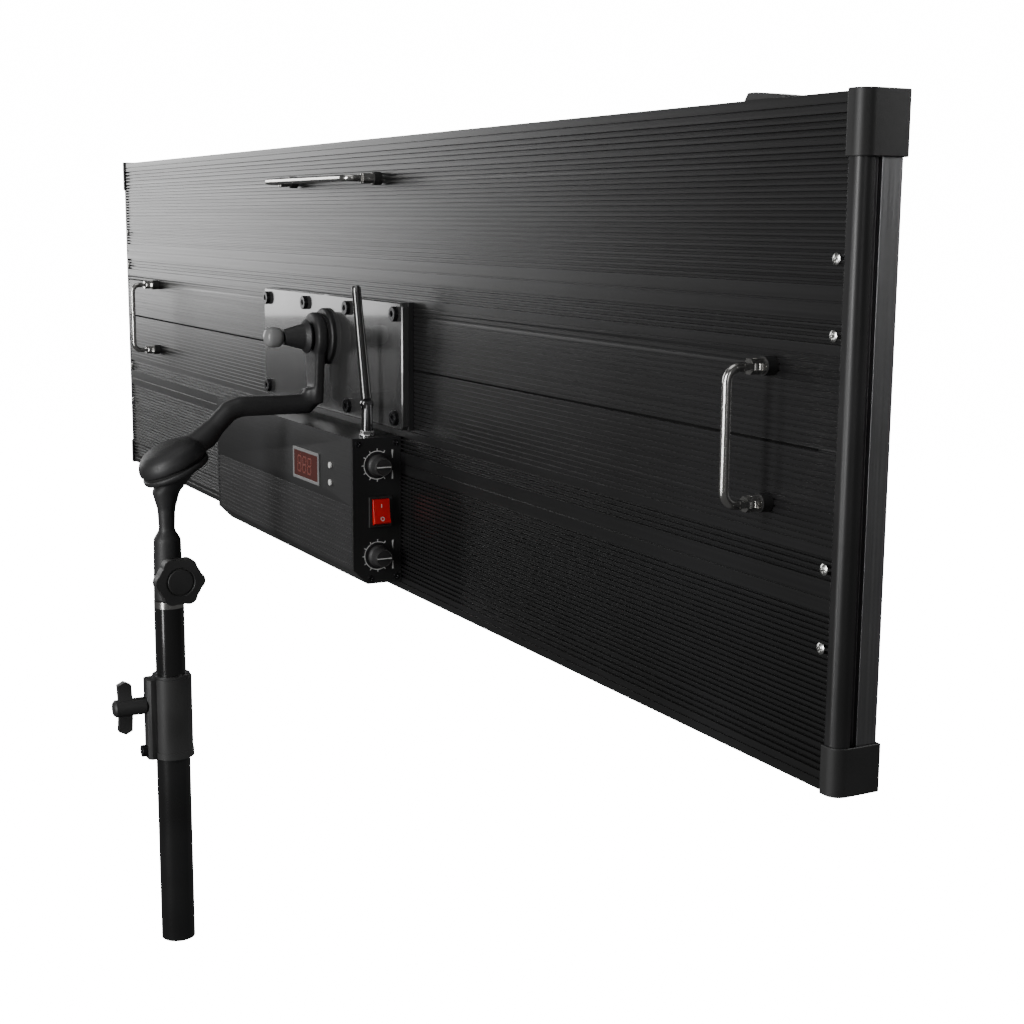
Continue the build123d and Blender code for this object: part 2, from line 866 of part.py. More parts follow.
# The tapered stem that screws on to the spindle and clamps the arm's eye.
with BuildPart() as lock_stem:
    with BuildSketch(Plane.YZ):
        with BuildLine():
            Polyline(
                (stem_y, roll_z),
                (stem_y, roll_z + stem_radius - stem_rim),
                (stem_y + stem_rim, roll_z + stem_radius),
                (stem_y + 2 * stem_rim, roll_z + stem_waist),
                (stem_end_y, roll_z + stem_end_radius),
                (stem_end_y, roll_z),
                close=True,
            )
        make_face()
    revolve(axis=Axis((0, 0, roll_z), (0, 1, 0)))
    with BuildSketch(across(stem_y)):
        with Locations((0, roll_z)):
            Circle(spindle_radius + running_gap)
    spindle_reach = drum_y + spindle_length - stem_y
    extrude(amount=-(spindle_reach + running_gap), mode=Mode.SUBTRACT)
lock_stem.part.label = "lock_stem"
export_step(lock_stem.part, "parts/lock_stem.step")

with BuildPart() as lock_knob:
    with BuildSketch(across(stem_end_y)):
        with Locations((0, roll_z)):
            Circle(lock_radius)
    extrude(amount=-lock_length)
    ends = lock_knob.faces().filter_by(Axis.Y)
    chamfer(ends.edges(), length=lock_chamfer)
lock_knob.part.label = "lock_knob"
export_step(lock_knob.part, "parts/lock_knob.step")

# ---------------------------------------------------------------- arm


def at_panel(y, z):
    # A point in the plane X = 0, from the panel's back and its lower edge.
    return (0, back_y + y, panel_bottom + z)


with BuildPart() as support_arm:
    # The eye that turns on the spindle.
    with BuildSketch(across(eye_y)):
        with Locations((0, roll_z)):
            Circle(drum_radius)
    extrude(amount=-eye_thickness)
    chamfer(support_arm.faces().sort_by(Axis.Y)[-1].edges(), length=eye_chamfer)
    # The flat neck under the eye, which narrows to the round run.
    neck_y = eye_y + eye_thickness / 2
    neck_top_z = roll_z - stem_radius - swing_gap
    with BuildSketch(across(neck_y - neck_thickness / 2)) as neck:
        with BuildLine():
            Polyline(
                (-neck_top_width / 2, neck_top_z),
                (neck_top_width / 2, neck_top_z),
                (neck_low_width / 2, panel_bottom + arm_run_height),
                (-neck_low_width / 2, panel_bottom + arm_run_height),
                close=True,
            )
        make_face()
    extrude(amount=-neck_thickness)
    with BuildLine() as run:
        Polyline(
            at_panel(arm_drop_y, arm_run_height + 2 * arm_bend),
            at_panel(arm_drop_y, arm_run_height + arm_bend),
            at_panel(arm_drop_y + arm_bend, arm_run_height),
            at_panel(arm_bend_y - arm_bend, arm_run_height),
            at_panel(arm_bend_y + arm_bend / 2, arm_run_height - arm_bend / 2),
            at_panel(arm_low_y, arm_run_height - arm_low_drop),
        )
    with BuildSketch(Plane(run.wire() @ 0, z_dir=run.wire() % 0)):
        Circle(arm_radius)
    sweep(transition=Transition.RIGHT)
    # The foot of the diagonal swells into the dome.
    swell = Plane(run.wire() @ 1, z_dir=run.wire() % 1)
    diagonal = hypot(arm_low_y - arm_bend_y, arm_low_drop)
    with BuildSketch(swell):
        Circle(arm_low_radius)
    with BuildSketch(swell.offset(-swell_part * diagonal)):
        Circle(arm_radius)
    loft(ruled=True)
    dome_plane = Plane(
        origin=swivel_origin, x_dir=(1, 0, 0), z_dir=(0, -swivel_axis[2], swivel_axis[1])
    )
    with BuildSketch(dome_plane):
        with BuildLine():
            Polyline(
                (0, dome_height),
                (0, washer_half),
                (swivel_radius, washer_half),
                *[(swivel_radius * across_part, dome_height * up) for across_part, up in dome_steps],
                close=True,
            )
        make_face()
    revolve(axis=Axis(swivel_origin, swivel_axis))
    with BuildSketch(swivel_plane):
        Circle(swivel_pin_radius + running_gap)
    extrude(amount=swivel_pin_length / 2 + running_gap, mode=Mode.SUBTRACT)
    with BuildSketch(swivel_plane.offset(washer_half)):
        Circle(2 * swivel_radius)
    extrude(amount=-2 * swivel_radius, mode=Mode.SUBTRACT)
    with BuildSketch(across(eye_y)):
        with Locations((0, roll_z)):
            Circle(spindle_radius + running_gap)
    extrude(amount=-eye_thickness, mode=Mode.SUBTRACT)
support_arm.part.label = "support_arm"
export_step(support_arm.part, "parts/support_arm.step")

with BuildPart() as swivel_washer:
    with BuildSketch(swivel_plane.offset(-washer_half)):
        Circle(swivel_radius - swivel_rim)
        Circle(swivel_pin_radius + running_gap, mode=Mode.SUBTRACT)
    extrude(amount=swivel_washer_thickness)
swivel_washer.part.label = "swivel_washer"
export_step(swivel_washer.part, "parts/swivel_washer.step")

with BuildPart() as swivel_pin:
    with BuildSketch(swivel_plane.offset(-swivel_pin_length / 2)):
        Circle(swivel_pin_radius)
    extrude(amount=swivel_pin_length)
swivel_pin.part.label = "swivel_pin"
export_step(swivel_pin.part, "parts/swivel_pin.step")

# ---------------------------------------------------------------- receiver

with BuildPart() as receiver:
    with BuildSketch(swivel_plane.offset(-washer_half)):
        Circle(swivel_radius)
    extrude(amount=-swivel_flange_thickness)
    flange_edges = receiver.faces().sort_by(Axis(swivel_origin, swivel_axis))[0].edges()
    chamfer(flange_edges, length=swivel_flange_chamfer)
    # The funnel runs from the tilted flange into the upright neck.
    with BuildSketch(swivel_plane.offset(-washer_half - swivel_flange_thickness)):
        Circle(funnel_radius)
    with BuildSketch(Plane.XY.offset(funnel_z)):
        Circle(funnel_low_radius)
    loft(ruled=True)
    with BuildSketch(Plane.XZ):
        with BuildLine():
            Polyline(
                (0, funnel_z),
                (funnel_low_radius, funnel_z),
                (receiver_waist_radius, receiver_waist_z),
                (receiver_neck_radius, receiver_neck_z),
                (riser_radius - receiver_taper, receiver_shoulder_z),
                (riser_radius, receiver_z),
                (0, receiver_z),
                close=True,
            )
        make_face()
    revolve(axis=Axis.Z)
    with BuildSketch(upright(-receiver_boss_reach)):
        with Locations((0, receiver_knob_z)):
            Circle(receiver_boss_radius)
    extrude(amount=receiver_boss_reach)
    with BuildSketch(upright(-receiver_boss_reach)):
        with Locations((0, receiver_knob_z)):
            Circle(receiver_stud_radius + running_gap)
    extrude(amount=receiver_boss_reach, mode=Mode.SUBTRACT)
    with BuildSketch(Plane.XY.offset(receiver_z)):
        Circle(spigot_radius + running_gap)
    extrude(amount=spigot_length + spigot_chamfer, mode=Mode.SUBTRACT)
    with BuildSketch(swivel_plane):
        Circle(swivel_pin_radius + running_gap)
    extrude(amount=-swivel_pin_length / 2, mode=Mode.SUBTRACT)
receiver.part.label = "receiver"
export_step(receiver.part, "parts/receiver.step")

knob_face_x = -receiver_knob_face
knob_back_x = -receiver_boss_reach - swing_gap
knob_neck_x = knob_face_x + receiver_knob_thickness
ring_outer, ring_inner, ring_depth = receiver_knob_ring
with BuildPart() as receiver_knob:
    with BuildSketch(upright(knob_face_x)):
        with Locations((0, receiver_knob_z)):
            Circle(receiver_knob_radius - receiver_knob_groove)
            with PolarLocations(receiver_knob_radius - receiver_knob_lobe_radius, receiver_knob_lobes):
                Circle(receiver_knob_lobe_radius)
    extrude(amount=receiver_knob_thickness)
    with BuildSketch(upright(knob_face_x)):
        with Locations((0, receiver_knob_z)):
            Circle(ring_outer)
            Circle(ring_inner, mode=Mode.SUBTRACT)
    extrude(amount=ring_depth, mode=Mode.SUBTRACT)
    with BuildSketch(Plane.XZ):
        with BuildLine():
            Polyline(
                (knob_neck_x, receiver_knob_z),
                (knob_neck_x, receiver_knob_z + receiver_knob_hub),
                (knob_back_x, receiver_knob_z + receiver_boss_radius),
                (knob_back_x, receiver_knob_z + receiver_stud_radius),
                (-spigot_radius - running_gap, receiver_knob_z + receiver_stud_radius),
                (-spigot_radius - running_gap, receiver_knob_z),
                close=True,
            )
        make_face()
    revolve(axis=Axis((0, 0, receiver_knob_z), (1, 0, 0)))
receiver_knob.part.label = "receiver_knob"
export_step(receiver_knob.part, "parts/receiver_knob.step")

# ---------------------------------------------------------------- stand

with BuildPart() as spigot:
    with BuildSketch(Plane.XY.offset(receiver_z)):
        Circle(spigot_radius)
    extrude(amount=spigot_length)
    chamfer(spigot.faces().sort_by(Axis.Z)[-1].edges(), length=spigot_chamfer)
    with BuildSketch(Plane.XY.offset(riser_top)):
        Circle(riser_radius)
    extrude(amount=receiver_z - riser_top)
    with BuildSketch(Plane.XY.offset(riser_top - spigot_plug)):
        Circle(riser_radius - riser_wall)
    extrude(amount=spigot_plug)
spigot.part.label = "spigot"
export_step(spigot.part, "parts/spigot.step")

with BuildPart() as riser_tube:
    with BuildSketch(Plane.XY.offset(riser_top - riser_length)):
        Circle(riser_radius)
        Circle(riser_radius - riser_wall, mode=Mode.SUBTRACT)
    extrude(amount=riser_length)
riser_tube.part.label = "riser_tube"
export_step(riser_tube.part, "parts/riser_tube.step")

# Above the collar's lower rim the tube is turned down by a step that the collar stands on.
with BuildPart() as lower_tube:
    with BuildSketch(Plane.XY):
        Circle(tube_radius)
    extrude(amount=collar_bottom)
    with BuildSketch(Plane.XY.offset(collar_bottom)):
        Circle(necked_radius)
    extrude(amount=collar_overlap)
    with BuildSketch(Plane.XY):
        Circle(tube_radius - tube_wall)
    extrude(amount=tube_top, mode=Mode.SUBTRACT)
lower_tube.part.label = "lower_tube"
export_step(lower_tube.part, "parts/lower_tube.step")

collar_length = collar_top - collar_bottom
with BuildPart() as collar:
    with BuildSketch(Plane.XY.offset(collar_bottom)):
        Circle(collar_radius)
        with Locations((0, boss_end / 2)):
            Rectangle(collar_boss_width, boss_end)
    extrude(amount=collar_length)
    chamfer(collar.edges().filter_by(Axis.Z).group_by(Axis.Y)[-1], length=wing_round)
    with BuildSketch(Plane.XY.offset(collar_bottom)):
        Circle(collar_radius + collar_rim)
    extrude(amount=collar_rim_height)
    with BuildSketch(Plane.XY.offset(collar_bottom)):
        Circle(collar_bore)
    extrude(amount=collar_length, mode=Mode.SUBTRACT)
    with BuildSketch(across(0)):
        with Locations((0, wing_z)):
            Circle(pad_radius + running_gap)
    extrude(amount=-pad_end, mode=Mode.SUBTRACT)
    with BuildSketch(across(0)):
        with Locations((0, wing_z)):
            Circle(wing_stud_radius + running_gap)
        with Locations((0, clamp_z)):
            Circle(clamp_screw_radius + screw_clearance)
    extrude(amount=-2 * boss_end, mode=Mode.SUBTRACT)
collar.part.label = "collar"
export_step(collar.part, "parts/collar.step")

with BuildPart() as collar_bushing:
    with BuildSketch(Plane.XY.offset(tube_top)):
        Circle(necked_radius)
    extrude(amount=collar_top - tube_top)
    with BuildSketch(Plane.XY.offset(collar_top)):
        Circle(collar_radius - bushing_rim)
    extrude(amount=bushing_flange)
    with BuildSketch(Plane.XY.offset(tube_top)):
        Circle(riser_radius + running_gap)
    extrude(amount=collar_length, mode=Mode.SUBTRACT)
    with BuildSketch(across(0)):
        with Locations((0, wing_z)):
            Circle(pad_radius + running_gap)
    extrude(amount=-collar_radius, mode=Mode.SUBTRACT)
collar_bushing.part.label = "collar_bushing"
export_step(collar_bushing.part, "parts/collar_bushing.step")

# The pad that the wing screw presses on to the riser; its inner face follows the tube.
with BuildPart() as brake_pad:
    with BuildSketch(across(riser_radius / 2)):
        with Locations((0, wing_z)):
            Circle(pad_radius)
    extrude(amount=-(pad_end - riser_radius / 2))
    with BuildSketch(Plane.XY.offset(wing_z - pad_radius)):
        Circle(riser_radius + running_gap)
    extrude(amount=2 * pad_radius, mode=Mode.SUBTRACT)
brake_pad.part.label = "brake_pad"
export_step(brake_pad.part, "parts/brake_pad.step")

with BuildPart() as wing_screw:
    with BuildSketch(across(wing_start)):
        with Locations((0, wing_z)):
            Circle(wing_hub_radius)
    extrude(amount=-wing_hub_length)
    chamfer(wing_screw.edges().group_by(Axis.Y)[-1], length=wing_hub_chamfer)
    # Two wings in the upright plane, wider at their tips.
    tip = wing_end - wing_tip - wing_hub_radius / 2
    with BuildSketch(upright(-wing_thickness / 2)) as wings:
        with BuildLine():
            Polyline(
                (tip - wing_tip - 1.0, wing_z),
                (tip - wing_tip, wing_z + wing_reach - wing_round),
                (tip, wing_z + wing_reach),
                (tip + wing_tip, wing_z + wing_reach - wing_round),
                (tip + wing_tip - 1.0, wing_z),
                (tip + wing_tip, wing_z - wing_reach + wing_round),
                (tip, wing_z - wing_reach),
                (tip - wing_tip, wing_z - wing_reach + wing_round),
                close=True,
            )
        make_face()
    extrude(amount=wing_thickness)
    with BuildSketch(across(pad_end)):
        with Locations((0, wing_z)):
            Circle(wing_stud_radius)
    extrude(amount=-(wing_start - pad_end))
wing_screw.part.label = "wing_screw"
export_step(wing_screw.part, "parts/wing_screw.step")

with BuildPart() as collar_screw:
    with BuildSketch(across(collar_radius - running_gap)):
        with Locations((0, clamp_z)):
            Circle(clamp_screw_radius)
    extrude(amount=-(boss_end - collar_radius + running_gap))
    with BuildSketch(across(boss_end)):
        with Locations((0, clamp_z)):
            Circle(clamp_screw_head[0])
    extrude(amount=-clamp_screw_head[1])
    with BuildSketch(across(boss_end + clamp_screw_head[1])):
        with Locations((0, clamp_z)):
            RegularPolygon(clamp_screw_socket[0], hexagon)
    extrude(amount=clamp_screw_socket[1], mode=Mode.SUBTRACT)
collar_screw.part.label = "collar_screw"
export_step(collar_screw.part, "parts/collar_screw.step")

# ---------------------------------------------------------------- control box

box_ports = [
    (back_y + box_port_inset, box_top_z - box_port_inset),
    (box_face_y - box_port_inset, box_top_z - box_port_inset),
    (back_y + box_port_inset, box_bottom_z + box_port_inset),
    (box_face_y - box_chamfer + box_wall, box_bottom_z + box_chamfer - box_wall),
]
box_outline = [
    (back_y, box_bottom_z),
    (box_face_y - box_chamfer, box_bottom_z),
    (box_face_y, box_bottom_z + box_chamfer),
    (box_face_y, box_top_z),
    (back_y, box_top_z),
]
groove_rows = (box_bottom_z + box_wall + groove_lip / 2, box_top_z - box_wall - groove_lip / 2)
groove_columns = (
    board_back_y - groove_gap - groove_wall / 2,
    board_front_y + groove_gap + groove_wall / 2,
)
window_clear = (window_length - 2 * window_rim, window_tall - 2 * window_rim)

with BuildPart() as box_housing:
    # The section: outer skin, hollow, slots for the circuit board and four screw ports.
    with BuildSketch(upright(housing_start)):
        with BuildLine():
            Polyline(*box_outline, close=True)
        make_face()
        offset(amount=-box_wall, kind=Kind.INTERSECTION, mode=Mode.SUBTRACT)
        with Locations(*[(y, z) for y in groove_columns for z in groove_rows]):
            Rectangle(groove_wall, groove_lip)
        with Locations(*box_ports):
            RegularPolygon(box_port, octagon)
            RegularPolygon(box_port / 2, octagon, mode=Mode.SUBTRACT)
        for i in range(box_ribs):
            rib_z = box_bottom_z + box_rib_start + i * box_rib_pitch
            with Locations((box_face_y - box_rib[1] / 2, rib_z)):
                Rectangle(box_rib[1], box_rib[0], mode=Mode.SUBTRACT)
    extrude(amount=housing_end - housing_start)
    with BuildSketch(across(box_face_y - 2 * box_wall)):
        with Locations((window_x, window_z)):
            Rectangle(*window_clear)
        with Locations(*button_places):
            Circle(button_radius + screw_clearance)
    extrude(amount=-2 * box_wall, mode=Mode.SUBTRACT)
    with BuildSketch(Plane.XY.offset(box_top_z - socket_depth - screw_clearance)):
        with Locations((antenna_x, antenna_base_y)):
            Circle(socket_radius + screw_clearance)
    extrude(amount=2 * socket_depth, mode=Mode.SUBTRACT)
box_housing.part.label = "box_housing"
export_step(box_housing.part, "parts/box_housing.step")


def end_plate(start, holes, openings):
    # holes are (place, radius) and openings are (place, width, height), each on the plate's face.
    with BuildPart() as plate:
        with BuildSketch(upright(start)):
            with BuildLine():
                Polyline(*box_outline, close=True)
            make_face()
            for place, radius in holes:
                with Locations(place):
                    Circle(radius, mode=Mode.SUBTRACT)
            for place, width, height in openings:
                with Locations(place):
                    Rectangle(width, height, mode=Mode.SUBTRACT)
        extrude(amount=box_plate)
    return plate


switch_place = (back_y + switch_y, switch_z)
body_width = switch_width - 2 * switch_edge[0]
body_tall = switch_tall - 2 * switch_edge[1]
dial_holes = [(place, bush_radius + screw_clearance) for place in dial_places]
switch_opening = (switch_place, body_width + 2 * screw_clearance, body_tall + 2 * screw_clearance)
box_end_near = end_plate(box_start, dial_holes, [switch_opening])
box_end_near.part.label = "box_end_near"
export_step(box_end_near.part, "parts/box_end_near.step")

box_end_far = end_plate(housing_end, [(inlet_place, inlet_radius + screw_clearance)], [])
box_end_far.part.label = "box_end_far"
export_step(box_end_far.part, "parts/box_end_far.step")

# ---------------------------------------------------------------- box electronics

board_tall = box_top - box_foot - 2 * box_wall - 2 * groove_gap
board_x = housing_start + board_inset_x + control_board_length / 2
with BuildPart() as control_board:
    with BuildSketch(across(board_back_y)):
        with Locations((board_x, panel_bottom + box_middle)):
            Rectangle(control_board_length, board_tall)
    extrude(amount=-control_board_thickness)
    with BuildSketch(across(board_back_y)):
        with Locations(*[(x, panel_bottom + box_middle + rise) for x, rise in board_blocks]):
            Rectangle(board_block[0], board_block[1])
    extrude(amount=board_block[2])
control_board.part.label = "control_board"
export_step(control_board.part, "parts/control_board.step")

window_seat_y = box_face_y - window_seat
with BuildPart() as display_module:
    with BuildSketch(across(board_front_y)):
        with Locations((window_x, window_z)):
            Rectangle(window_clear[0] - window_seat, window_clear[1] - window_seat)
    extrude(amount=-(window_seat_y - running_gap - board_front_y))
display_module.part.label = "display_module"
export_step(display_module.part, "parts/display_module.step")

# The tinted window with its rim, which lies on the housing's face.
with BuildPart() as display_window:
    with BuildSketch(across(box_face_y)):
        with Locations((window_x, window_z)):
            Rectangle(window_length, window_tall)
    extrude(amount=-window_thickness)
    with BuildSketch(across(window_seat_y)):
        with Locations((window_x, window_z)):
            Rectangle(window_clear[0] - 2 * screw_clearance, window_clear[1] - 2 * screw_clearance)
    extrude(amount=-window_seat)
    with BuildSketch(across(box_face_y + window_thickness)):
        with Locations((window_x, window_z)):
            Rectangle(*window_clear)
    extrude(amount=window_sink, mode=Mode.SUBTRACT)
display_window.part.label = "display_window"
export_step(display_window.part, "parts/display_window.step")


def push_button(place):
    # The cap stands proud of the face; its foot rests inside, ahead of the switch on the board.
    foot_y = board_front_y + button_foot
    with BuildPart() as button:
        with BuildSketch(across(foot_y)):
            with Locations(place):
                Circle(button_radius)
        extrude(amount=-(box_face_y + button_proud - foot_y))
        with BuildSketch(across(box_face_y - box_wall - button_back_gap)):
            with Locations(place):
                RegularPolygon(button_radius + button_collar[0], octagon)
        extrude(amount=-button_collar[1])
    return button


button_up = push_button(button_places[0])
button_up.part.label = "button_up"
export_step(button_up.part, "parts/button_up.step")

button_down = push_button(button_places[1])
button_down.part.label = "button_down"
export_step(button_down.part, "parts/button_down.step")

pivot_x = box_start - rocker_pivot
with BuildPart() as switch_body:
    with BuildSketch(upright(box_start)):
        with Locations(switch_place):
            Rectangle(switch_width, switch_tall)
    extrude(amount=-switch_rim)
    with BuildSketch(upright(box_start)):
        with Locations(switch_place):
            Rectangle(body_width, body_tall)
    extrude(amount=switch_depth)
    with BuildSketch(across(switch_place[0] - rocker_width / 2 - rocker_gap)):
        with Locations((pivot_x, switch_z)):
            Circle(rocker_radius + rocker_gap)
    extrude(amount=-(rocker_width + 2 * rocker_gap), mode=Mode.SUBTRACT)
switch_body.part.label = "switch_body"
export_step(switch_body.part, "parts/switch_body.step")

# The rocker is round about its pivot, with a shallow V on its face, tipped to one side at rest.
rocker_plane = Plane(
    origin=(pivot_x, switch_place[0] - rocker_width / 2, switch_z),
    x_dir=(-cos(radians(rocker_rest)), 0, sin(radians(rocker_rest))),
    z_dir=(0, 1, 0),
)
rocker_far = 2 * rocker_radius
with BuildPart() as rocker:
    with BuildSketch(rocker_plane):
        Circle(rocker_radius)
        with BuildLine():
            Polyline(
                (rocker_valley, 0),
                (rocker_ridge, -rocker_far),
                (rocker_far, -rocker_far),
                (rocker_far, rocker_far),
                (rocker_ridge, rocker_far),
                close=True,
            )
        make_face(mode=Mode.SUBTRACT)
    extrude(amount=rocker_width)
rocker.part.label = "rocker"
export_step(rocker.part, "parts/rocker.step")

bush_start = box_start - bush_reach
with BuildPart() as potentiometers:
    with BuildSketch(upright(housing_start)):
        with Locations(*dial_places):
            Circle(can_radius)
    extrude(amount=can_length)
    with BuildSketch(upright(bush_start)):
        with Locations(*dial_places):
            Circle(bush_radius)
    extrude(amount=housing_start - bush_start)
    with BuildSketch(upright(box_start - nut_thickness)):
        with Locations(*dial_places):
            RegularPolygon(nut_radius, hexagon)
    extrude(amount=nut_thickness)
    with BuildSketch(upright(bush_start)):
        with Locations(*dial_places):
            Circle(dial_shaft_radius + running_gap)
    extrude(amount=box_plate + 2 * dial_shaft_radius, mode=Mode.SUBTRACT)
potentiometers.part.label = "potentiometers"
export_step(potentiometers.part, "parts/potentiometers.step")


def dimmer_knob(place):
    # A skirted knob on its shaft, hollow where it covers the bush and nut, with a pointer rib.
    y, z = place
    skirt_x = box_start - dial_gap
    face_x = skirt_x - dial_length
    with BuildPart() as knob:
        with BuildSketch(upright(skirt_x)):
            with Locations(place):
                Circle(dial_radius)
        extrude(amount=-dial_skirt)
        with BuildSketch(upright(skirt_x - dial_skirt)):
            with Locations(place):
                Circle(dial_radius - dial_cap_inset)
        extrude(amount=-(dial_length - dial_skirt))
        with BuildSketch(upright(skirt_x)):
            with Locations(place):
                Circle(dial_hollow[0])
        extrude(amount=-dial_hollow[1], mode=Mode.SUBTRACT)
        with BuildSketch(upright(face_x)):
            with Locations((y - dial_pointer_offset, z)):
                Rectangle(dial_pointer[0], dial_pointer[1])
        extrude(amount=-dial_pointer[2])
        with BuildSketch(upright(skirt_x - dial_shaft_start)):
            with Locations(place):
                Circle(dial_shaft_radius)
        extrude(amount=dial_shaft_length)
    return knob


dimmer_knob_upper = dimmer_knob(dial_places[0])
dimmer_knob_upper.part.label = "dimmer_knob_upper"
export_step(dimmer_knob_upper.part, "parts/dimmer_knob_upper.step")

dimmer_knob_lower = dimmer_knob(dial_places[1])
dimmer_knob_lower.part.label = "dimmer_knob_lower"
export_step(dimmer_knob_lower.part, "parts/dimmer_knob_lower.step")

with BuildPart() as power_inlet:
    with BuildSketch(upright(box_end - inlet_depth)):
        with Locations(inlet_place):
            Circle(inlet_radius)
    extrude(amount=inlet_depth)
    with BuildSketch(upright(box_end)):
        with Locations(inlet_place):
            Circle(inlet_radius + inlet_flange[0])
    extrude(amount=inlet_flange[1])
    with BuildSketch(upright(box_end + inlet_flange[1] - inlet_bore[2])):
        with Locations(inlet_place):
            Circle(inlet_bore[0])
            Circle(inlet_bore[1], mode=Mode.SUBTRACT)
    extrude(amount=inlet_bore[2], mode=Mode.SUBTRACT)
power_inlet.part.label = "power_inlet"
export_step(power_inlet.part, "parts/power_inlet.step")

# ---------------------------------------------------------------- antenna

antenna_place = (antenna_x, antenna_base_y)
base_start_z = socket_top_z + running_gap
with BuildPart() as antenna_socket:
    with BuildSketch(Plane.XY.offset(box_top_z - socket_depth)):
        with Locations(antenna_place):
            Circle(socket_radius)
    extrude(amount=socket_depth)
    with BuildSketch(Plane.XY.offset(box_top_z)):
        with Locations(antenna_place):
            Circle(socket_flange[0])
    extrude(amount=socket_flange[1])
    with BuildSketch(Plane.XY.offset(box_top_z + socket_flange[1])):
        with Locations(antenna_place):
            RegularPolygon(socket_hex[0], hexagon)
    extrude(amount=socket_hex[1])
    with BuildSketch(Plane.XY.offset(box_top_z - socket_depth)):
        with Locations(antenna_place):
            Circle(antenna_stud + running_gap)
    extrude(amount=2 * socket_depth, mode=Mode.SUBTRACT)
antenna_socket.part.label = "antenna_socket"
export_step(antenna_socket.part, "parts/antenna_socket.step")

fork_slot = antenna_tongue + 2 * hinge_gap
fork_width = 2 * (antenna_radius - antenna_flat)
with BuildPart() as antenna_base:
    with BuildSketch(Plane.XY.offset(box_top_z - socket_depth)):
        with Locations(antenna_place):
            Circle(antenna_stud)
    extrude(amount=base_start_z - box_top_z + socket_depth)
    with BuildSketch(Plane.XY.offset(base_start_z)):
        with Locations(antenna_place):
            Circle(antenna_radius)
    extrude(amount=fold_z - base_start_z)
    with BuildSketch(upright(antenna_x - fork_width / 2)):
        with Locations((antenna_base_y, fold_z)):
            Circle(antenna_radius)
    extrude(amount=fork_width)
    with BuildSketch(upright(antenna_x - fork_slot / 2)):
        with Locations((antenna_base_y, fold_z)):
            Rectangle(4 * antenna_radius, 2 * (antenna_radius + swing_gap))
    extrude(amount=fork_slot, mode=Mode.SUBTRACT)
    with BuildSketch(upright(antenna_x - fork_width / 2)):
        with Locations((antenna_base_y, fold_z)):
            Circle(antenna_pin)
    extrude(amount=fork_width)
antenna_base.part.label = "antenna_base"
export_step(antenna_base.part, "parts/antenna_base.step")

lean = radians(antenna_lean)
rod_plane = Plane(
    origin=(antenna_x, antenna_base_y, fold_z), x_dir=(1, 0, 0), z_dir=(0, sin(lean), cos(lean))
)
rod_start = antenna_radius + antenna_flat
rod_length = antenna_length - antenna_fold
with BuildPart() as antenna_rod:
    with BuildSketch(Plane(origin=rod_plane.origin, x_dir=(1, 0, 0), z_dir=rod_plane.y_dir)):
        with BuildLine():
            Polyline(
                (0, -rod_start),
                (antenna_radius, -rod_start),
                (antenna_tip_radius, -rod_length + antenna_pin),
                (antenna_tip_radius - antenna_pin, -rod_length),
                (0, -rod_length),
                close=True,
            )
        make_face()
    revolve(axis=Axis(rod_plane.origin, rod_plane.z_dir))
    with BuildSketch(rod_plane):
        Rectangle(antenna_tongue, fork_width)
    extrude(amount=rod_start)
    with BuildSketch(upright(antenna_x - antenna_tongue / 2)):
        with Locations((antenna_base_y, fold_z)):
            Circle(antenna_radius - antenna_flat)
    extrude(amount=antenna_tongue)
    with BuildSketch(upright(antenna_x - antenna_tongue)):
        with Locations((antenna_base_y, fold_z)):
            Circle(antenna_pin + running_gap)
    extrude(amount=2 * antenna_tongue, mode=Mode.SUBTRACT)
antenna_rod.part.label = "antenna_rod"
export_step(antenna_rod.part, "parts/antenna_rod.step")
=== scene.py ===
import json
import math

import bmesh
import bpy
import numpy as np
from mathutils import Matrix, Vector
from mathutils.bvhtree import BVHTree


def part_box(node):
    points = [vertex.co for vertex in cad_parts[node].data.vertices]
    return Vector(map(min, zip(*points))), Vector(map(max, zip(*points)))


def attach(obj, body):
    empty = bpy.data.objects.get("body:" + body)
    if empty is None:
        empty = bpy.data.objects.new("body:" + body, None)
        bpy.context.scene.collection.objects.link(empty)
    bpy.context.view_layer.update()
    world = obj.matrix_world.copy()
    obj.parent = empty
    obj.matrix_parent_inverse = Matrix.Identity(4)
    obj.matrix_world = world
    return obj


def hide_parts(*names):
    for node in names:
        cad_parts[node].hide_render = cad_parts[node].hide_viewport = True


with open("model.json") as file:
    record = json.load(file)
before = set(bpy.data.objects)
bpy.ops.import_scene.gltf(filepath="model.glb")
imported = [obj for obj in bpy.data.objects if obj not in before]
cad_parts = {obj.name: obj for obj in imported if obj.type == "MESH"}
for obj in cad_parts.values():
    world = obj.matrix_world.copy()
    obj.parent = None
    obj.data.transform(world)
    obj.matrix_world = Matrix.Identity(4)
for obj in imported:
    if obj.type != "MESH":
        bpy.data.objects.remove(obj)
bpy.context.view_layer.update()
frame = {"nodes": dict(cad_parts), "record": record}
bodyOf = {node: body for body, nodes in frame["record"]["behaviour"]["bodies"].items() for node in nodes}
joints = {joint["name"]: joint for joint in frame["record"]["behaviour"]["joints"]}
mm = 0.001


def corners(node):
    low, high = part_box(node)
    return np.array(low), np.array(high)


# Meshes


def gridFaces(rows, columns, closeRows=False):
    # Quads between neighbouring rows of a grid whose columns run round a closed loop.
    last = rows if closeRows else rows - 1
    row = np.arange(last)[:, None]
    column = np.arange(columns)[None, :]
    nextRow = (row + 1) % rows
    nextColumn = (column + 1) % columns
    quads = np.stack(
        [
            row * columns + column + 0 * nextColumn,
            row * columns + nextColumn,
            nextRow * columns + nextColumn,
            nextRow * columns + column + 0 * nextColumn,
        ],
        axis=-1,
    )
    return quads.reshape(-1, 4)


